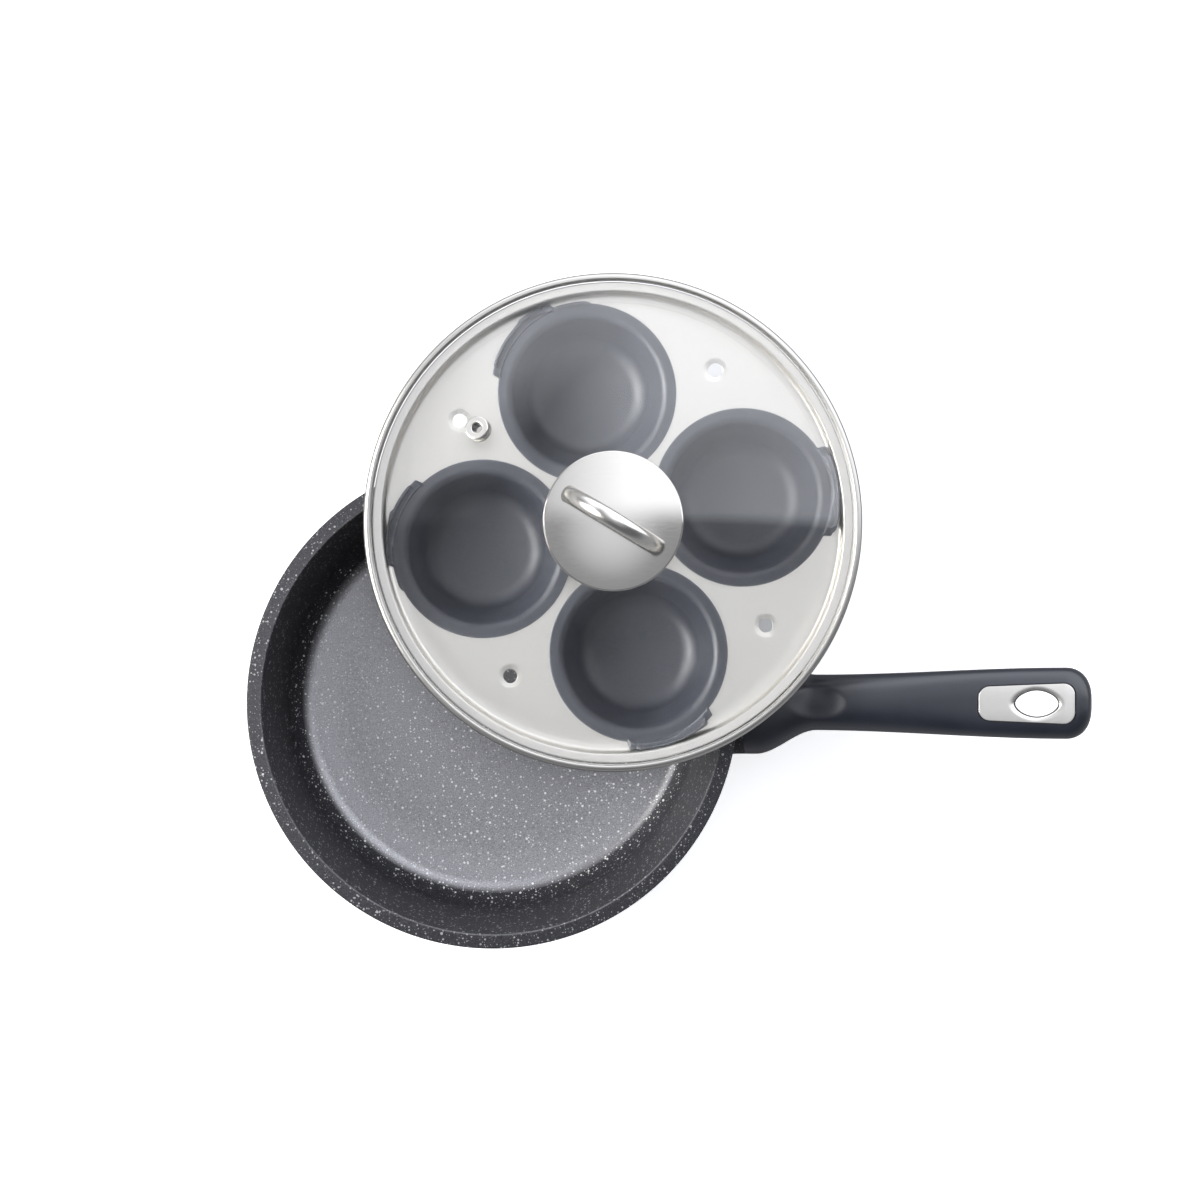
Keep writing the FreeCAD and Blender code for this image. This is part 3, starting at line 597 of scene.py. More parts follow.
def lugGrid():
    # the root section pushed back to the middle of the pan's wall, swelling on the way
    angle = np.linspace(0, 2 * np.pi, handle["around"], endpoint=False)
    tilt = math.radians(handle["tilt"])
    backwards = np.array([-math.cos(tilt), 0, -math.sin(tilt)])

    def section(swell, scale):
        across = (handle["rootWidth"] / 2 + swell) * squared(np.cos(angle), handle["power"]) * scale
        rise = (handle["rootThick"] / 2 + swell) * squared(np.sin(angle), handle["power"]) * scale
        return ontoPan(np.stack([0 * angle, across, rise], -1))

    def pushed(points, share):
        # a few rounds find the way back to the wall's middle, which leans
        travel = np.zeros(len(points))
        for step in range(handle["pushRounds"]):
            tried = points + backwards * travel[:, None]
            middle = wallFoot + pan["wall"] / 2 + pan["lean"] * tried[:, 2] / pan["height"]
            travel = travel + np.hypot(tried[:, 0], tried[:, 1]) - middle
        return points + backwards * (travel * share)[:, None]

    swell = handle["lugSwell"]
    rows = [section(0, scale) for scale in handle["rootCap"]]
    rows += [pushed(section(swell * share ** 3, 1), share) for share in np.linspace(0, 1, handle["lugSections"])[1:]]
    rows += [pushed(section(swell, scale), 1) for scale in handle["wallCap"]]
    return np.stack(rows)


makePiece("panLug", [gridPart(lugGrid())], stoneMaterial, "pan", "stone_coating")

handleGrip = makePiece("handleGrip", [gridPart(ontoPan(shellGrid(True)))], softMaterial, "pan", "handle_soft")
handleCore = makePiece("handleCore", [gridPart(ontoPan(shellGrid(False)))],
                       plasticMaterial, "pan", "handle_plastic")

insert = {
    "endMargin": 5.9, "length": 38.4, "startWidth": 13.4, "endWidth": 16.6, "corner": 4.4,
    "thick": 1.5, "proud": -0.05, "crown": 0.3, "seam": 0.5, "points": 240,
    "edgeRows": ((0, 0.2), (0.012, 0.12), (0.05, 0.055), (0.11, 0.015), (0.2, 0)),  # inset and drop
    "edgeLimit": 0.9, "plateRows": (0.02, 0.06, *np.linspace(0.15, 1, 9)),  # shares of the way to the dish
    "dishRows": 16, "roundRows": 6, "prismRows": 8,
    "holeInset": 15.3, "holeLength": 18.2, "holeWidth": 11.2, "holePoint": 1.8, "holeStretch": 1.4,
    "dish": 1.9, "dishDrop": 0.32, "dishPower": 2.5, "holeEdge": 0.3, "edgeDrop": 0.15,
    "recessGap": 0.1, "ledge": 0.4, "flare": 1.9, "overlap": 0.2, "footReach": 0.5, "cutTop": 20.0,
}
insertEnd = handle["length"] - insert["endMargin"]
holePlace = insertEnd - insert["holeInset"]


def insertOutline(grow):
    # the insert's plan: a trapezium with rounded corners
    start = insertEnd - insert["length"] - grow
    end = insertEnd + grow
    startHalf = insert["startWidth"] / 2 + grow
    endHalf = insert["endWidth"] / 2 + grow
    corner = insert["corner"] + grow
    line = roundedProfile([(start, -startHalf, corner), (end, -endHalf, corner),
                           (end, endHalf, corner), (start, startHalf, corner)])
    return evenly(line, insert["points"])


def holeOutline(grow, likeLine):
    # the hanging hole's outline, an ellipse drawn out a little to its two ends: cos and sin of the bearing
    # raised to 2 / holePoint; its points are on the bearings of another line's points
    halfLength = insert["holeLength"] / 2 + insert["holeStretch"] * grow
    halfWidth = insert["holeWidth"] / 2 + grow
    angle = np.arctan2(likeLine[:, 1] / halfWidth, (likeLine[:, 0] - holePlace) / halfLength)
    x, y = (squared(value, insert["holePoint"]) for value in (np.cos(angle), np.sin(angle)))
    return np.stack([holePlace + halfLength * x, halfWidth * y], 1)


def plateLevel(plan):
    # the insert's top: along the handle's ridge, with a share of the skin's crown across it
    ridge = skinLevel(plan[:, 0], 0 * plan[:, 1], 1)
    return ridge + insert["crown"] * (skinLevel(plan[:, 0], plan[:, 1], 1) - ridge) + insert["proud"]


def planRow(plan, level):
    # the points of a plan, each at its own level
    return np.concatenate([plan, level[:, None]], 1)


def insertGrid():
    # rows round the insert: up its edge, over the plate, down the dish to the hole's rounded edge, and back
    # beneath; the dish falls with a power of the way to the hole
    outer = insertOutline(0)
    brim = holeOutline(insert["dish"], outer)
    holeEdge = insert["holeEdge"]
    lip = holeOutline(holeEdge, outer)
    hole = holeOutline(0, outer)
    gap = np.linalg.norm(brim - outer, axis=1)[:, None]
    rows = []

    def onTop(plan, drop):
        rows.append(planRow(plan, plateLevel(plan) - drop))

    onTop(outer, insert["thick"])
    for inset, drop in insert["edgeRows"]:
        edgeShare = np.minimum(inset / gap, insert["edgeLimit"])
        onTop(outer + (brim - outer) * edgeShare, drop)
    for share in insert["plateRows"]:
        onTop(outer + (brim - outer) * (edgeShare + (1 - edgeShare) * share), 0)
    for share in np.linspace(0, 1, insert["dishRows"])[1:]:
        onTop(brim + (lip - brim) * share, insert["dishDrop"] * share ** insert["dishPower"])
    for turn in np.linspace(0, np.pi / 2, insert["roundRows"])[1:]:
        onTop(holeOutline(holeEdge * (1 - math.sin(turn)), outer),
              insert["dishDrop"] + holeEdge * (1 - math.cos(turn)) + insert["edgeDrop"] * math.sin(turn))
    onTop(hole, insert["thick"])
    onTop((hole + outer) / 2, insert["thick"])
    return np.stack(rows)


def prismGrid(outlines, levels):
    # a prism between a lower and an upper outline, at levels given as functions of the plan; both ends shrink
    # to the hole's centre
    centre = np.array([holePlace, 0.0])
    shares = np.linspace(0, 1, insert["prismRows"])[:, None, None]
    ends = [np.stack([planRow(plan, level(plan)) for plan in centre + (outline - centre) * shares])
            for outline, level in zip(outlines, levels)]
    return np.concatenate([ends[0], ends[1][::-1]])


def recessFloor(plan):
    # a little below the plate's underside
    return plateLevel(plan) - insert["thick"] - insert["recessGap"]


def farAbove(plan):
    # clear of the handle's top
    return np.full(len(plan), insert["cutTop"])


def holeTop(plan):
    # a little above the recess's floor
    return recessFloor(plan) + insert["overlap"]


def holeFoot(plan):
    # a little below the handle's skin
    return skinLevel(plan[:, 0], plan[:, 1], -1) - insert["footReach"]


recessOutline = insertOutline(insert["seam"])
recessCutter = prismGrid((recessOutline, recessOutline), (recessFloor, farAbove))
holeLines = [holeOutline(grow, recessOutline) for grow in (insert["flare"], -insert["ledge"])]
holeCutter = prismGrid(holeLines, (holeFoot, holeTop))
for shell in (handleGrip, handleCore):
    rounding = shell.modifiers.new("partingRound", "BEVEL")
    rounding.width = handle["partingRound"] * mm
    rounding.segments = 2
    rounding.angle_limit = math.radians(handle["partingAngle"])
    if shell is handleGrip:
        carve(shell, [gridPart(ontoPan(recessCutter))])
    carve(shell, [gridPart(ontoPan(holeCutter))])
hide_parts("handle_grip")
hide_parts("handle_core")
handleInsert = makePiece("handleInsert", [gridPart(ontoPan(insertGrid()), closeRows=True)],
                         steel["satinPlate"], "pan", "polished_steel")
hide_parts("handle_end_insert")
print("pan and handle made")

tray = {
    "sheet": 0.6, "wall": 92.9, "flange": 97.05, "floor": 52.6, "seat": 62.6, "seatGap": 0.12,
    "bend": 2.6, "shoulder": 0.95, "hem": 1.2, "hemRound": 0.4, "hemReturn": 1.3, "flatEdge": 87.5, "turns": 360,
    "steamReach": 74.2, "steamHole": 2.85, "steamDish": 5.2, "steamDepth": 0.2, "steamSlope": 0.8,
    "steamRings": (6.5, 5.6), "steamRows": 12, "steamTurns": 48,
    "cupReach": 53.307, "cupRings": (33.0, 32.2, 31.63), "cupTurns": 160,
}
cupBearings = [layout["bearing"] - 45.0 + 90.0 * index for index in range(4)]


def trayParts():
    # one sheet: the turned wall and hem, a dished ring round each steam hole, a flat ring round each cup
    # hole, and flat triangles between these rings
    flangeTop = tray["seat"] - tray["seatGap"]
    wallLine = roundedProfile([
        (tray["flatEdge"], tray["floor"], 0),
        (tray["wall"], tray["floor"], tray["bend"]),
        (tray["wall"], flangeTop, tray["shoulder"]),
        (tray["flange"], flangeTop, tray["hemRound"]),
        (tray["flange"], flangeTop - tray["hem"], tray["hemRound"]),
        (tray["flange"] - tray["hemReturn"], flangeTop - tray["hem"], 0),
    ], closed=False, turnSteps=10, longest=2.5)
    parts = [gridPart(turnedGrid(wallLine, tray["turns"], setCentre))]
    dishRows = np.linspace(tray["steamDish"], tray["steamHole"], tray["steamRows"])
    dishRadius = np.concatenate([tray["steamRings"], dishRows])
    inwards = (tray["steamDish"] - dishRadius) / (tray["steamDish"] - tray["steamHole"])
    dish = tray["floor"] - tray["steamDepth"] * smoothStep(inwards * tray["steamSlope"])
    steamLine = np.stack([dishRadius, dish], 1)
    cupLine = np.array([(radius, tray["floor"]) for radius in tray["cupRings"]])
    outline = turnedGrid(wallLine[:1], tray["turns"], setCentre)[0]
    loops = [outline]
    holes = []
    for index in range(4):
        steamCentre = setCentre + aroundPoint(tray["steamReach"], layout["bearing"] + 90 * index)
        cupCentre = setCentre + aroundPoint(tray["cupReach"], cupBearings[index])
        for line, centre, steps in ((steamLine, steamCentre, tray["steamTurns"]),
                                    (cupLine, cupCentre, tray["cupTurns"])):
            grid = turnedGrid(line, steps, centre)
            parts.append(gridPart(grid))
            loops.append(grid[0])
            holes.append((centre, line[0, 0]))
    corners = np.concatenate(loops)
    edges = []
    start = 0
    for loop in loops:
        index = np.arange(len(loop))
        edges.append(np.stack([start + index, start + (index + 1) % len(loop)], 1))
        start += len(loop)
    flat = delaunay_2d_cdt(corners[:, :2].tolist(), np.concatenate(edges).tolist(), [], 0, 1e-6)
    places = np.array([tuple(corner) for corner in flat[0]])
    triangles = np.array(flat[2])
    middles = places[triangles].mean(1)
    kept = np.hypot(*(middles - setCentre[:2]).T) < tray["flatEdge"]
    for centre, radius in holes:
        kept &= np.hypot(*(middles - centre[:2]).T) > radius
    level = np.full((len(places), 1), tray["floor"])
    parts.append((np.concatenate([places, level], 1), triangles[kept]))
    return parts


traySheet = makePiece("traySheet", trayParts(), steel["satinSteel"], "tray", "tray_steel", faceUp=True)
thickness = traySheet.modifiers.new("thickness", "SOLIDIFY")
thickness.thickness = tray["sheet"] * mm
thickness.offset = -1
thickness.use_even_offset = True
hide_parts("tray")
print("tray made")

cup = {
    "depth": 22.0, "sheet": 0.9, "lean": 20.0, "corner": 9.0, "mouthRound": 3.2, "mouthUnder": 1.1,
    "dish": 1.6, "dishFrom": 0.45, "dishRound": 125.0,
    "flange": 35.993, "flangeWidth": 5.4, "edgeRound": 0.32, "blendFrom": 34.2, "level": 53.5,
    "tabLength": 3.2, "tabRise": 1.3, "tabLip": 1.2, "tabLipWidth": 1.2, "tabAngle": 57.0, "tabRamp": 2.6,
    "tabStep": 0.8, "stepFoot": 0.5, "stepTop": 0.2, "stepRound": 0.2, "flatShort": 0.4, "flatRound": 0.3,
    "lipAngle": 45.0, "lipRounds": (0.3, 0.4, 0.45, 0.35, 0.5, 0.5), "rampSteps": 11,
    "tabBearings": (4.0, 141.0, 162.0, 292.5), "edgePoints": 64, "turnStep": 2.0,
    "mouthWearAndHighlight": 0.5, "edgeWearAndHighlight": 0.8,
}


def cupGrid(tabBearing):
    # a turned bowl and flange; along the tab the flange's edge steps up and out, and a shorter stretch of it
    # carries a raised lip: profile = plain + (flat - plain) * wide + (lipped - flat) * narrow, where wide and
    # narrow are functions of the angle that rise smoothly at their two ends; a second grid gives the wear and the
    # highlight painted along the edges
    mouthRadius = cup["flange"] - cup["flangeWidth"]
    slope = math.tan(math.radians(cup["lean"]))
    side = cup["sheet"] / math.cos(math.radians(cup["lean"]))
    under = cup["depth"] + cup["sheet"]
    start = cup["blendFrom"]
    sheet = cup["sheet"]
    footRadius = mouthRadius - (cup["depth"] - cup["dish"]) * slope
    inner = roundedProfile([
        (0, -cup["depth"], 0), (footRadius * cup["dishFrom"], -cup["depth"], cup["dishRound"]),
        (footRadius, cup["dish"] - cup["depth"], cup["corner"]),
        (mouthRadius, 0, cup["mouthRound"]), (start, 0, 0),
    ], closed=False, turnSteps=16, longest=2.0)
    outer = roundedProfile([
        (start, -sheet, 0), (mouthRadius + side - sheet * slope, -sheet, cup["mouthUnder"]),
        (footRadius + side - sheet * slope, cup["dish"] - under, cup["corner"] + sheet),
        (footRadius * cup["dishFrom"], -under, cup["dishRound"]), (0, -under, 0),
    ], closed=False, turnSteps=16, longest=2.0)
    edge = cup["edgeRound"]
    flange = cup["flange"]
    step = cup["tabStep"]
    stepFoot = flange - cup["stepFoot"]
    stepTop = flange - cup["stepTop"]
    tabEnd = flange + cup["tabLength"]
    flatEnd = tabEnd - cup["flatShort"]
    lipFoot = tabEnd - cup["tabLipWidth"]
    lipTop = cup["tabRise"] + cup["tabLip"]
    tabUnder = cup["tabRise"] - sheet
    plain = roundedProfile([
        (start, 0, 0), (flange, 0, edge), (flange, -sheet, edge), (start, -sheet, 0),
    ], closed=False, turnSteps=6, longest=1.0)
    stepUp = [(start, 0, 0), (stepFoot, 0, cup["stepRound"]), (stepTop, step, cup["stepRound"])]
    flat = roundedProfile([
        *stepUp, (flatEnd, step, edge), (flatEnd, step - sheet, edge),
        (flange, -sheet, cup["flatRound"]), (start, -sheet, 0),
    ], closed=False, turnSteps=5, longest=1.0)
    overLip = [(lipFoot, cup["tabRise"]), (lipFoot, lipTop), (tabEnd, lipTop),
               (tabEnd, tabUnder), (lipFoot, tabUnder), (flange, -sheet)]
    overLip = [(*corner, cornerRound) for corner, cornerRound in zip(overLip, cup["lipRounds"])]
    lipped = roundedProfile([*stepUp, *overLip, (start, -sheet, 0)], closed=False, turnSteps=5, longest=1.0)
    plain, flat, lipped = (evenly(line, cup["edgePoints"], closed=False) for line in (plain, flat, lipped))
    ramp = np.linspace(-0.5, 0.5, cup["rampSteps"]) * cup["tabRamp"]
    ends = [ramp + side * angle / 2 for angle in (cup["tabAngle"], cup["lipAngle"]) for side in (-1, 1)]
    turn = np.concatenate([np.arange(0, 360, cup["turnStep"]), (np.concatenate(ends) + tabBearing) % 360])
    turn = np.unique(np.round(turn, 4))
    away = np.abs((turn - tabBearing + 180) % 360 - 180)
    wide, narrow = (smoothStep((angle / 2 + cup["tabRamp"] / 2 - away) / cup["tabRamp"])
                    for angle in (cup["tabAngle"], cup["lipAngle"]))
    turn = np.radians(turn)

    def alongEdge(bowl, first, second, third, floor):
        # values down the profile and round the cup, with the edge's three forms mixed by the angle
        rows = np.concatenate([bowl, first, floor])[:, None]
        toFlat = np.concatenate([0 * bowl, second - first, 0 * floor])[:, None]
        toLip = np.concatenate([0 * bowl, third - second, 0 * floor])[:, None]
        return rows + toFlat * wide + toLip * narrow

    inner, outer = inner[:-1], outer[1:]
    lines = (inner, plain, flat, lipped, outer)
    radius, level = (alongEdge(*(line[:, axis] for line in lines)) for axis in (0, 1))
    # paler edges: wear, and a highlight painted on the rounded mouth, flange edge, step and lip
    wearAndHighlight = alongEdge(cup["mouthWearAndHighlight"] * wearAndHighlightNear(inner, [(mouthRadius, 0)]),
                     cup["edgeWearAndHighlight"] * wearAndHighlightNear(plain, [(flange, 0)]),
                     wearAndHighlightNear(flat, [(stepTop, step), (flatEnd, step)]),
                     wearAndHighlightNear(lipped, [(stepTop, step), (lipFoot, lipTop), (tabEnd, lipTop)]), 0 * outer[:, 0])
    return np.stack([radius * np.cos(turn), radius * np.sin(turn), level], -1), wearAndHighlight


for index, tabBearing in enumerate(cup["tabBearings"]):
    cupName = "cup_" + str(index + 1)
    cupPlace = setCentre + aroundPoint(tray["cupReach"], cupBearings[index], cup["level"])
    cupShape, cupWearAndHighlight = cupGrid(tabBearing)
    eggCup = makePiece("eggCup" + str(index + 1), [gridPart(cupShape + cupPlace)],
                       cupMaterial, cupName, "cup_coating", sharpAngle=50, wearAndHighlight=cupWearAndHighlight)
    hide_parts(cupName)
print("cups made")

lid = {
    "radius": 100.5, "rimWidth": 3.1, "rimSheet": 0.7, "rimRound": 1.9, "rimEnd": 0.25, "slotRound": 0.4,
    "rimCrown": 1.25, "crownInset": 0.55, "crownRound": 0.75, "crownFoot": 0.05, "faceGap": 0.1,
    "glass": 4.0, "rise": 26.0, "marginRound": 10.0, "marginStart": 92.9, "hole": 3.0, "edgeGap": 0.2,
    "turns": 480, "domeSteps": 40, "bendSteps": 36, "marginSteps": 6,
}
domeRadius = (lid["marginStart"] ** 2 + (lid["marginRound"] - lid["rise"]) ** 2
              - lid["marginRound"] ** 2) / (2 * lid["rise"])
domeLevel = tray["seat"] + lid["rise"] - domeRadius
glassEdge = lid["radius"] - lid["rimSheet"] - lid["edgeGap"]


def glassFace(offset):
    # one face of the glass from the knob's hole outwards: a sphere, a reversed arc and a flat margin
    radius = domeRadius + offset
    roundCentre = np.array([lid["marginStart"], tray["seat"] + lid["marginRound"]])
    joint = math.atan2(roundCentre[0], roundCentre[1] - domeLevel)
    slope = np.linspace(math.asin(lid["hole"] / radius), joint, lid["domeSteps"])
    sphere = np.stack([radius * np.sin(slope), domeLevel + radius * np.cos(slope)], 1)
    bend = np.linspace(joint, 0, lid["bendSteps"])[1:]
    small = lid["marginRound"] - offset
    arc = roundCentre - small * np.stack([np.sin(bend), np.cos(bend)], 1)
    margin = np.linspace(lid["marginStart"], glassEdge, lid["marginSteps"])[1:]
    flat = np.stack([margin, np.full_like(margin, tray["seat"] + offset)], 1)
    return np.concatenate([sphere, arc, flat])


glassProfile = np.concatenate([glassFace(0), glassFace(lid["glass"])[::-1]])
lidGlass = makePiece("lidGlass", [gridPart(turnedGrid(glassProfile, lid["turns"], setCentre), closeRows=True)],
                     glassMaterial, "lid", "lid_glass")

slotLow = tray["seat"] - lid["faceGap"]
slotHigh = tray["seat"] + lid["glass"] + lid["faceGap"]
rimInner = lid["radius"] - lid["rimWidth"]
rimSlot = lid["radius"] - lid["rimSheet"]
rimProfile = roundedProfile([
    (rimInner, slotLow - lid["rimSheet"], lid["rimEnd"]),
    (lid["radius"], slotLow - lid["rimSheet"], lid["rimRound"]),
    (lid["radius"], slotHigh + lid["rimCrown"], lid["rimRound"]),
    (rimInner + lid["crownInset"], slotHigh + lid["rimCrown"], lid["crownRound"]),
    (rimInner, slotHigh, lid["crownFoot"]),
    (rimSlot, slotHigh, lid["slotRound"]),
    (rimSlot, slotLow, lid["slotRound"]),
    (rimInner, slotLow, lid["rimEnd"]),
], turnSteps=10, longest=1.0, edge=0.1)
lidRim = makePiece("lidRim", [gridPart(turnedGrid(rimProfile, lid["turns"], setCentre), closeRows=True)],
                   steel["rimSteel"], "lid", "polished_steel")
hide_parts("lid_rim")

eyelet = {
    "reach": 65.8, "bearing": 145.4, "hole": 2.0, "barrel": 3.2, "flange": 4.8, "thick": 1.0,
    "round": 0.48, "underRound": 0.1, "gap": 0.2, "cutLow": -12.0, "cutHigh": 8.0, "turns": 64,
}


def ontoDome(points):
    # from an upright axis onto the dome, square to it at the eyelet's place
    lean = math.asin(eyelet["reach"] / (domeRadius + lid["glass"]))
    bearing = math.radians(eyelet["bearing"])
    tilted = np.array([[math.cos(lean), 0, math.sin(lean)], [0, 1, 0], [-math.sin(lean), 0, math.cos(lean)]])
    swung = np.array([[math.cos(bearing), -math.sin(bearing), 0],
                      [math.sin(bearing), math.cos(bearing), 0], [0, 0, 1]])
    turnedBoth = swung @ tilted
    top = turnedBoth @ np.array([0, 0, domeRadius + lid["glass"]])
    return points @ turnedBoth.T + top + setCentre + np.array([0, 0, domeLevel])


eyeletLow = -lid["glass"] - eyelet["flange"] ** 2 / (2 * domeRadius) - lid["faceGap"]
eyeletProfile = roundedProfile([
    (eyelet["hole"], eyelet["thick"], eyelet["round"]),
    (eyelet["flange"], eyelet["thick"], eyelet["round"]),
    (eyelet["flange"], 0, eyelet["underRound"]),
    (eyelet["barrel"], 0, 0),
    (eyelet["barrel"], eyeletLow, 0),
    (eyelet["flange"], eyeletLow, eyelet["underRound"]),
    (eyelet["flange"], eyeletLow - eyelet["thick"], eyelet["round"]),
    (eyelet["hole"], eyeletLow - eyelet["thick"], eyelet["round"]),
], turnSteps=8, longest=0.6, edge=0.1)
eyeletGrid = ontoDome(turnedGrid(eyeletProfile, eyelet["turns"]))
ventEyelet = makePiece("ventEyelet", [gridPart(eyeletGrid, closeRows=True)],
                       steel["satinBar"], "lid", "polished_steel")
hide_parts("lid_vent_eyelet")
ventRadius = eyelet["barrel"] + eyelet["gap"] / 2
ventCutter = np.array([(0, eyelet["cutLow"]), (ventRadius, eyelet["cutLow"]),
                       (ventRadius, eyelet["cutHigh"]), (0, eyelet["cutHigh"])])
carve(lidGlass, [gridPart(ontoDome(turnedGrid(ventCutter, eyelet["turns"])))])
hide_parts("lid_glass")
print("lid made")

knob = {
    "radius": 27.8, "crown": 1.2, "rollWidth": 1.8, "sheet": 1.6, "skirt": 3.4, "edge": 0.7, "skirtRound": 0.6,
    "innerRound": 0.3, "boss": 4.0, "bossGap": 0.05, "turns": 192, "crownSteps": 40,
    "gasketRadius": 9.0, "gasketHeight": 3.4, "gasketGap": 0.2, "gasketEdge": 0.5,
    "screw": 2.0, "screwGap": 0.1, "seal": 8.0, "sealThick": 1.2, "sealGap": 0.05,
    "washer": 9.5, "washerThick": 1.0, "washerEdge": 0.3, "washerTurns": 96,
}
glassInnerTop = tray["seat"] + lid["rise"]
glassOuterTop = glassInnerTop + lid["glass"]
discUnder = glassOuterTop + knob["gasketHeight"]
discTop = discUnder + knob["sheet"]


def discProfile():
    # crowned top (level = top - crown (r / radius)^2), a rolled edge, a skirt and the boss below
    radius = np.linspace(0, knob["radius"] - knob["rollWidth"], knob["crownSteps"])
    crown = np.stack([radius, discTop - knob["crown"] * (radius / knob["radius"]) ** 2], 1)
    inner = knob["radius"] - knob["sheet"]
    low = discTop - knob["skirt"]
    bossFoot = glassOuterTop + knob["bossGap"]
    rest = roundedProfile([
        tuple(crown[-1]) + (0,),
        (knob["radius"], discTop - knob["crown"], knob["edge"]),
        (knob["radius"], low, knob["skirtRound"]),
        (inner, low, knob["skirtRound"]),
        (inner, discUnder - knob["crown"], knob["innerRound"]),
        (knob["gasketRadius"], discUnder, 0),
        (knob["boss"], discUnder, 0),
        (knob["boss"], bossFoot, 0),
        (0, bossFoot, 0),
    ], closed=False, turnSteps=8, longest=2.0, edge=0.15)
    return np.concatenate([crown[:-1], rest])


knobDisc = makePiece("knobDisc", [gridPart(turnedGrid(discProfile(), knob["turns"], setCentre))],
                     steel["polishedSteel"], "lid", "polished_steel")
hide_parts("knob_disc")

loop = {
    "radius": 20.5, "width": 7.1, "thick": 5.0, "leg": 1.2, "bearing": -31.2,
    "foot": 0.2, "footFrom": -1.0, "footHeight": 1.6, "sections": 120, "around": 40, "legSections": 5,
}


def loopGrid():
    # an oval section carried round half a circle and down two short legs; it swells at the two feet
    arch = np.linspace(0, np.pi, loop["sections"])
    angle = np.linspace(0, 2 * np.pi, loop["around"], endpoint=False)
    leg = np.linspace(loop["leg"], 0, loop["legSections"])[:-1]
    turn = np.concatenate([0 * leg, arch, 0 * leg + np.pi])[:, None]
    drop = np.concatenate([leg, 0 * arch, leg[::-1]])[:, None]
    height = loop["radius"] * np.sin(turn) - drop
    swell = loop["foot"] * (1 - smoothStep((height - loop["footFrom"]) / loop["footHeight"])) ** 2
    outwards = (loop["thick"] / 2 + swell) * np.cos(angle)
    across = (loop["width"] / 2 + swell) * np.sin(angle)
    along = (loop["radius"] + outwards) * np.cos(turn)
    level = (loop["radius"] + outwards) * np.sin(turn) - drop + discTop
    bearing = math.radians(loop["bearing"])
    x = along * math.cos(bearing) - across * math.sin(bearing) + setCentre[0]
    y = along * math.sin(bearing) + across * math.cos(bearing) + setCentre[1]
    grid = np.stack([x, y, level], -1)
    ends = [section.mean(0) + 0 * section for section in (grid[0], grid[-1])]
    return np.concatenate([ends[0][None], grid, ends[1][None]])


knobLoop = makePiece("knobLoop", [gridPart(loopGrid())], steel["satinBar"], "lid", "polished_steel")
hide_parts("knob_loop")


def washerProfile(inner, outer, low, high, edge):
    # a flat ring with rounded outer edges
    return roundedProfile([(inner, low, 0), (outer, low, edge), (outer, high, edge), (inner, high, 0)],
                          longest=1.5, edge=0.12)


sealTop = glassInnerTop - knob["seal"] ** 2 / (2 * domeRadius) - knob["sealGap"]
washerTop = sealTop - knob["sealThick"]
headTop = washerTop - knob["washerThick"]
gasketHole = knob["boss"] + knob["gasketGap"]
screwHole = knob["screw"] + knob["screwGap"]
ringEdge = knob["washerEdge"]
hardware = {
    "knobGasket": ("knob_gasket", rubberMaterial, "seal_rubber", washerProfile(
        gasketHole, knob["gasketRadius"], glassOuterTop, discUnder, knob["gasketEdge"])),
    "knobSeal": ("knob_seal", rubberMaterial, "seal_rubber", washerProfile(
        screwHole, knob["seal"], washerTop, sealTop, ringEdge)),
    "knobWasher": ("knob_washer", steel["plainSteel"], "screw_steel", washerProfile(
        screwHole, knob["washer"], headTop, washerTop, ringEdge)),
}
for pieceName, (node, material, slotName, profile) in hardware.items():
    grid = turnedGrid(profile, knob["washerTurns"], setCentre)
    piece = makePiece(pieceName, [gridPart(grid, closeRows=True)], material, "lid", slotName)
    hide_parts(node)
print("knob made")

# three pieces are shown as they are in the frame
shown = {"base_disc": discSteel, "handle_screw": steel["plainSteel"], "knob_screw": steel["plainSteel"]}
for node, material in shown.items():
    kept = frame["nodes"][node]
    kept.data.materials.clear()
    kept.data.materials.append(material)

stage = {
    "floor": 24.0, "floorLevel": -0.0002, "floorColour": (0.93, 0.93, 0.93), "floorRough": 0.9,
    "floorBounce": (0.2, 0.2, 0.2), "floorGlow": 0.6, "floorThrough": 0.1, "floorMirrored": 0.12,
    "backTop": 1.7, "backGlow": 2.1, "backBand": (0.75, 0.93), "backLow": -0.3, "lowBand": (0.0, 0.4),
    "backEdge": 0.042, "edgeSoft": 0.028, "backLeft": 0.15, "leftBand": (-0.35, 0.05), "leftTop": (0.6, 0.86),
    "farLeft": 0.2, "farLeftBand": (-0.75, -0.4),
    "frontTop": 0.6, "topBand": (0.99, 1.0), "frontGlow": 0.42, "frontDark": 0.15, "frontBand": (0.85, 0.98),
    "frontLow": 0.22, "frontLowBand": (0.2, 0.5), "panelTint": (0.96, 0.987, 1.055), "backdrop": 0.97,
    "lampPlace": (-1.35, 0.1, 0.95), "lampAim": (0.05, 0.07, 0.05), "lampSize": 1.1, "lampPower": 38.0,
    "camera": (0.0438, 0.0419, 1.552), "lens": 110.7, "sensor": 36.0,
}
half = stage["floor"] / 2
floorMesh = bpy.data.meshes.new("floor")
floorCorners = [(x * half, y * half, stage["floorLevel"]) for x, y in ((-1, -1), (1, -1), (1, 1), (-1, 1))]
floorMesh.from_pydata(floorCorners, [], [(0, 1, 2, 3)])
floor = bpy.data.objects.new("floor", floorMesh)
bpy.context.scene.collection.objects.link(floor)
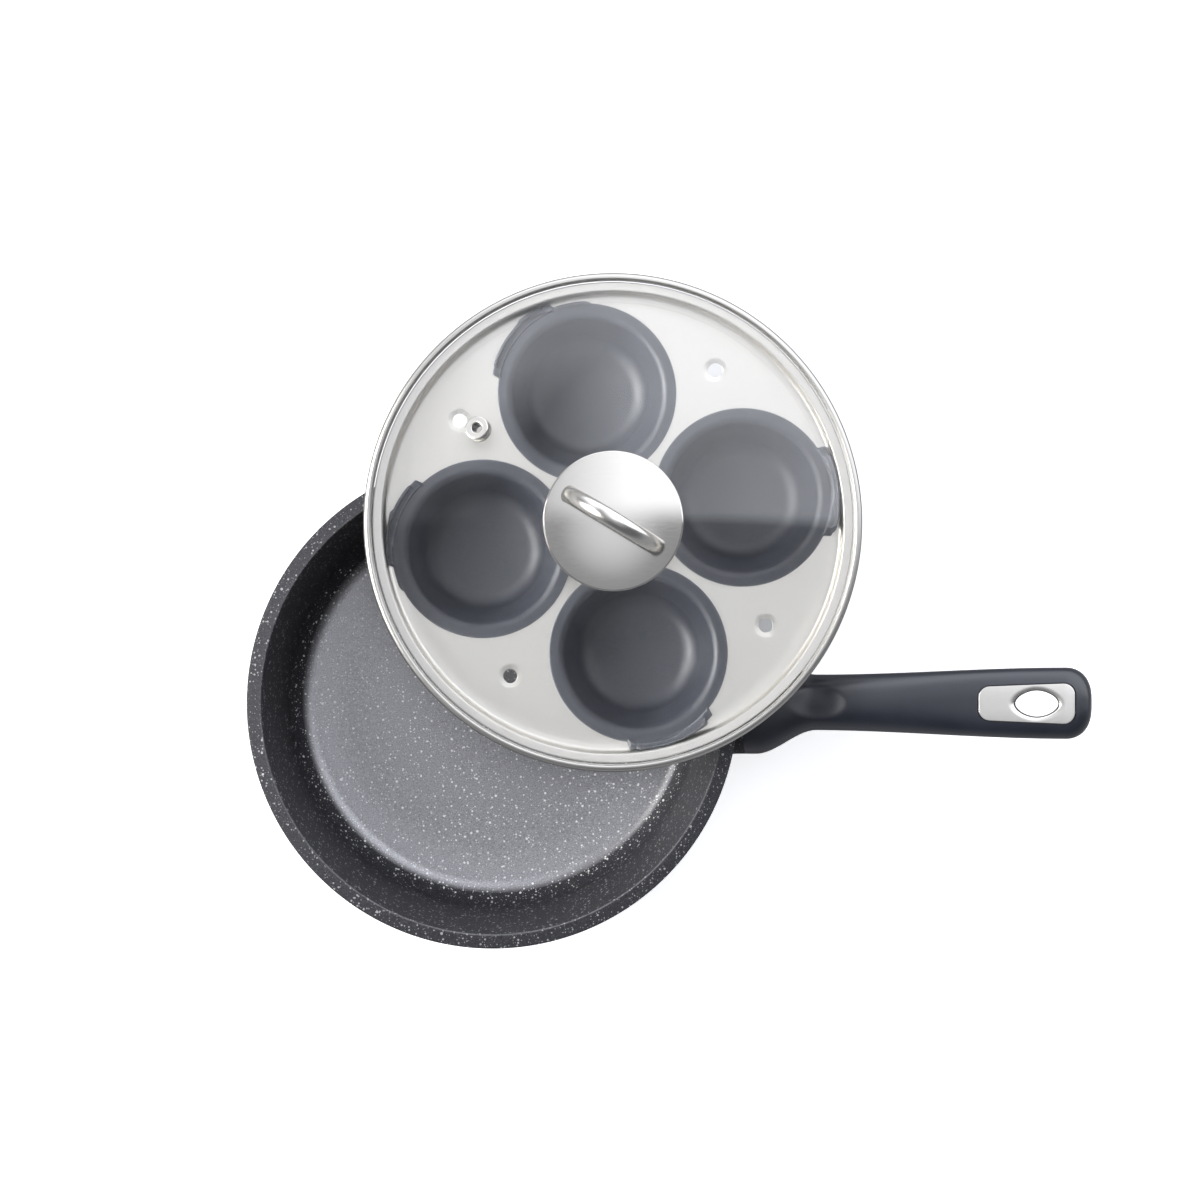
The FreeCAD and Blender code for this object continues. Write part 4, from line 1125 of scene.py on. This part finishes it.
# pale to the camera and through the glass, greyer as a source of light and in mirrors
floorMaterial, floorTree, floorShader = newMaterial("paleFloor", stage["floorColour"], stage["floorRough"])[:3]
greyer = addNode(floorTree, "BsdfDiffuse", {"Color": (*stage["floorBounce"], 1.0)})
floorShader.inputs["Emission Color"].default_value = (1, 1, 1, 1)
floorRay = addNode(floorTree, "LightPath").outputs
throughGlass = floorRay["Is Transmission Ray"]
feed(floorTree, floorShader,
     Emission_Strength=ranged(floorTree, throughGlass, 0, 1, stage["floorGlow"], stage["floorThrough"]))
floorSeen = mathOf(floorTree, "MAXIMUM", floorRay["Is Camera Ray"], throughGlass)
mirrored = mathOf(floorTree, "MULTIPLY", floorRay["Is Glossy Ray"], stage["floorMirrored"])
floorSeen = mathOf(floorTree, "MAXIMUM", floorSeen, mirrored)
floorMix = addNode(floorTree, "MixShader", {0: floorSeen, 1: greyer.outputs[0], 2: floorShader.outputs[0]})
feed(floorTree, floorTree.nodes["Material Output"], Surface=floorMix.outputs[0])
floorMesh.materials.append(floorMaterial)

# the studio as light from all round: a bright panel over the whole far half, whose near edge passes
# overhead, and a darker near half; the camera itself sees a plain pale backdrop
world = bpy.data.worlds.new("studio")
bpy.context.scene.world = world
world.use_nodes = True
worldTree = world.node_tree
background = worldTree.nodes["Background"]
direction = addNode(worldTree, "TexCoord").outputs["Generated"]
towards = addNode(worldTree, "SeparateXYZ", {0: direction}).outputs


def band(axis, name, low, high):
    # a value that changes over a band of directions along one axis
    return ranged(worldTree, towards[axis], *stage[name], low, high)


def worldMath(operation, *values):
    return mathOf(worldTree, operation, *values)


edgeShift = worldMath("MULTIPLY_ADD", towards["Z"], -stage["backEdge"], towards["Y"])
behind = ranged(worldTree, edgeShift, -stage["edgeSoft"], stage["edgeSoft"], 0.0, 1.0)
front = worldMath("ADD", band("Z", "frontBand", stage["frontDark"], stage["frontGlow"]),
                  band("Z", "topBand", 0.0, stage["frontTop"]))
front = worldMath("ADD", front, band("Z", "frontLowBand", stage["frontLow"], 0.0))
back = worldMath("ADD", band("Z", "backBand", stage["backGlow"], stage["backTop"]),
                 band("Z", "lowBand", stage["backLow"], 0.0))
leftFall = worldMath("MAXIMUM", band("X", "leftBand", stage["backLeft"], 1.0), band("Z", "leftTop", 1.0, 0.0))
leftFall = worldMath("MULTIPLY", leftFall, band("X", "farLeftBand", stage["farLeft"], 1.0))
back = worldMath("MULTIPLY", back, leftFall)
glow = addNode(worldTree, "Mix", {0: behind, 2: front, 3: back}).outputs[0]
seen = addNode(worldTree, "LightPath").outputs["Is Camera Ray"]
glow = addNode(worldTree, "Mix", {0: seen, 2: glow, 3: stage["backdrop"]}).outputs[0]
feed(worldTree, background, Strength=glow, Color=mixColours(worldTree, seen, stage["panelTint"], (1, 1, 1)))

# a soft lamp at the left; it isn't hit by mirror rays, so it shades the cups but leaves the glass clear
lampData = bpy.data.lights.new("lamp", "AREA")
lampData.shape = "DISK"
lampData.size = stage["lampSize"]
lampData.energy = stage["lampPower"]
lampData.cycles.use_multiple_importance_sampling = False
lamp = bpy.data.objects.new("lamp", lampData)
lamp.location = stage["lampPlace"]
toPart = Vector(stage["lampAim"]) - lamp.location
lamp.rotation_euler = toPart.to_track_quat("-Z", "Y").to_euler()
bpy.context.scene.collection.objects.link(lamp)

cameraData = bpy.data.cameras.new("camera")
cameraData.lens = stage["lens"]
cameraData.sensor_width = stage["sensor"]
camera = bpy.data.objects.new("camera", cameraData)
camera.location = stage["camera"]
bpy.context.scene.collection.objects.link(camera)
bpy.context.scene.camera = camera
bpy.context.scene.view_settings.view_transform = "Standard"
print("stage made")
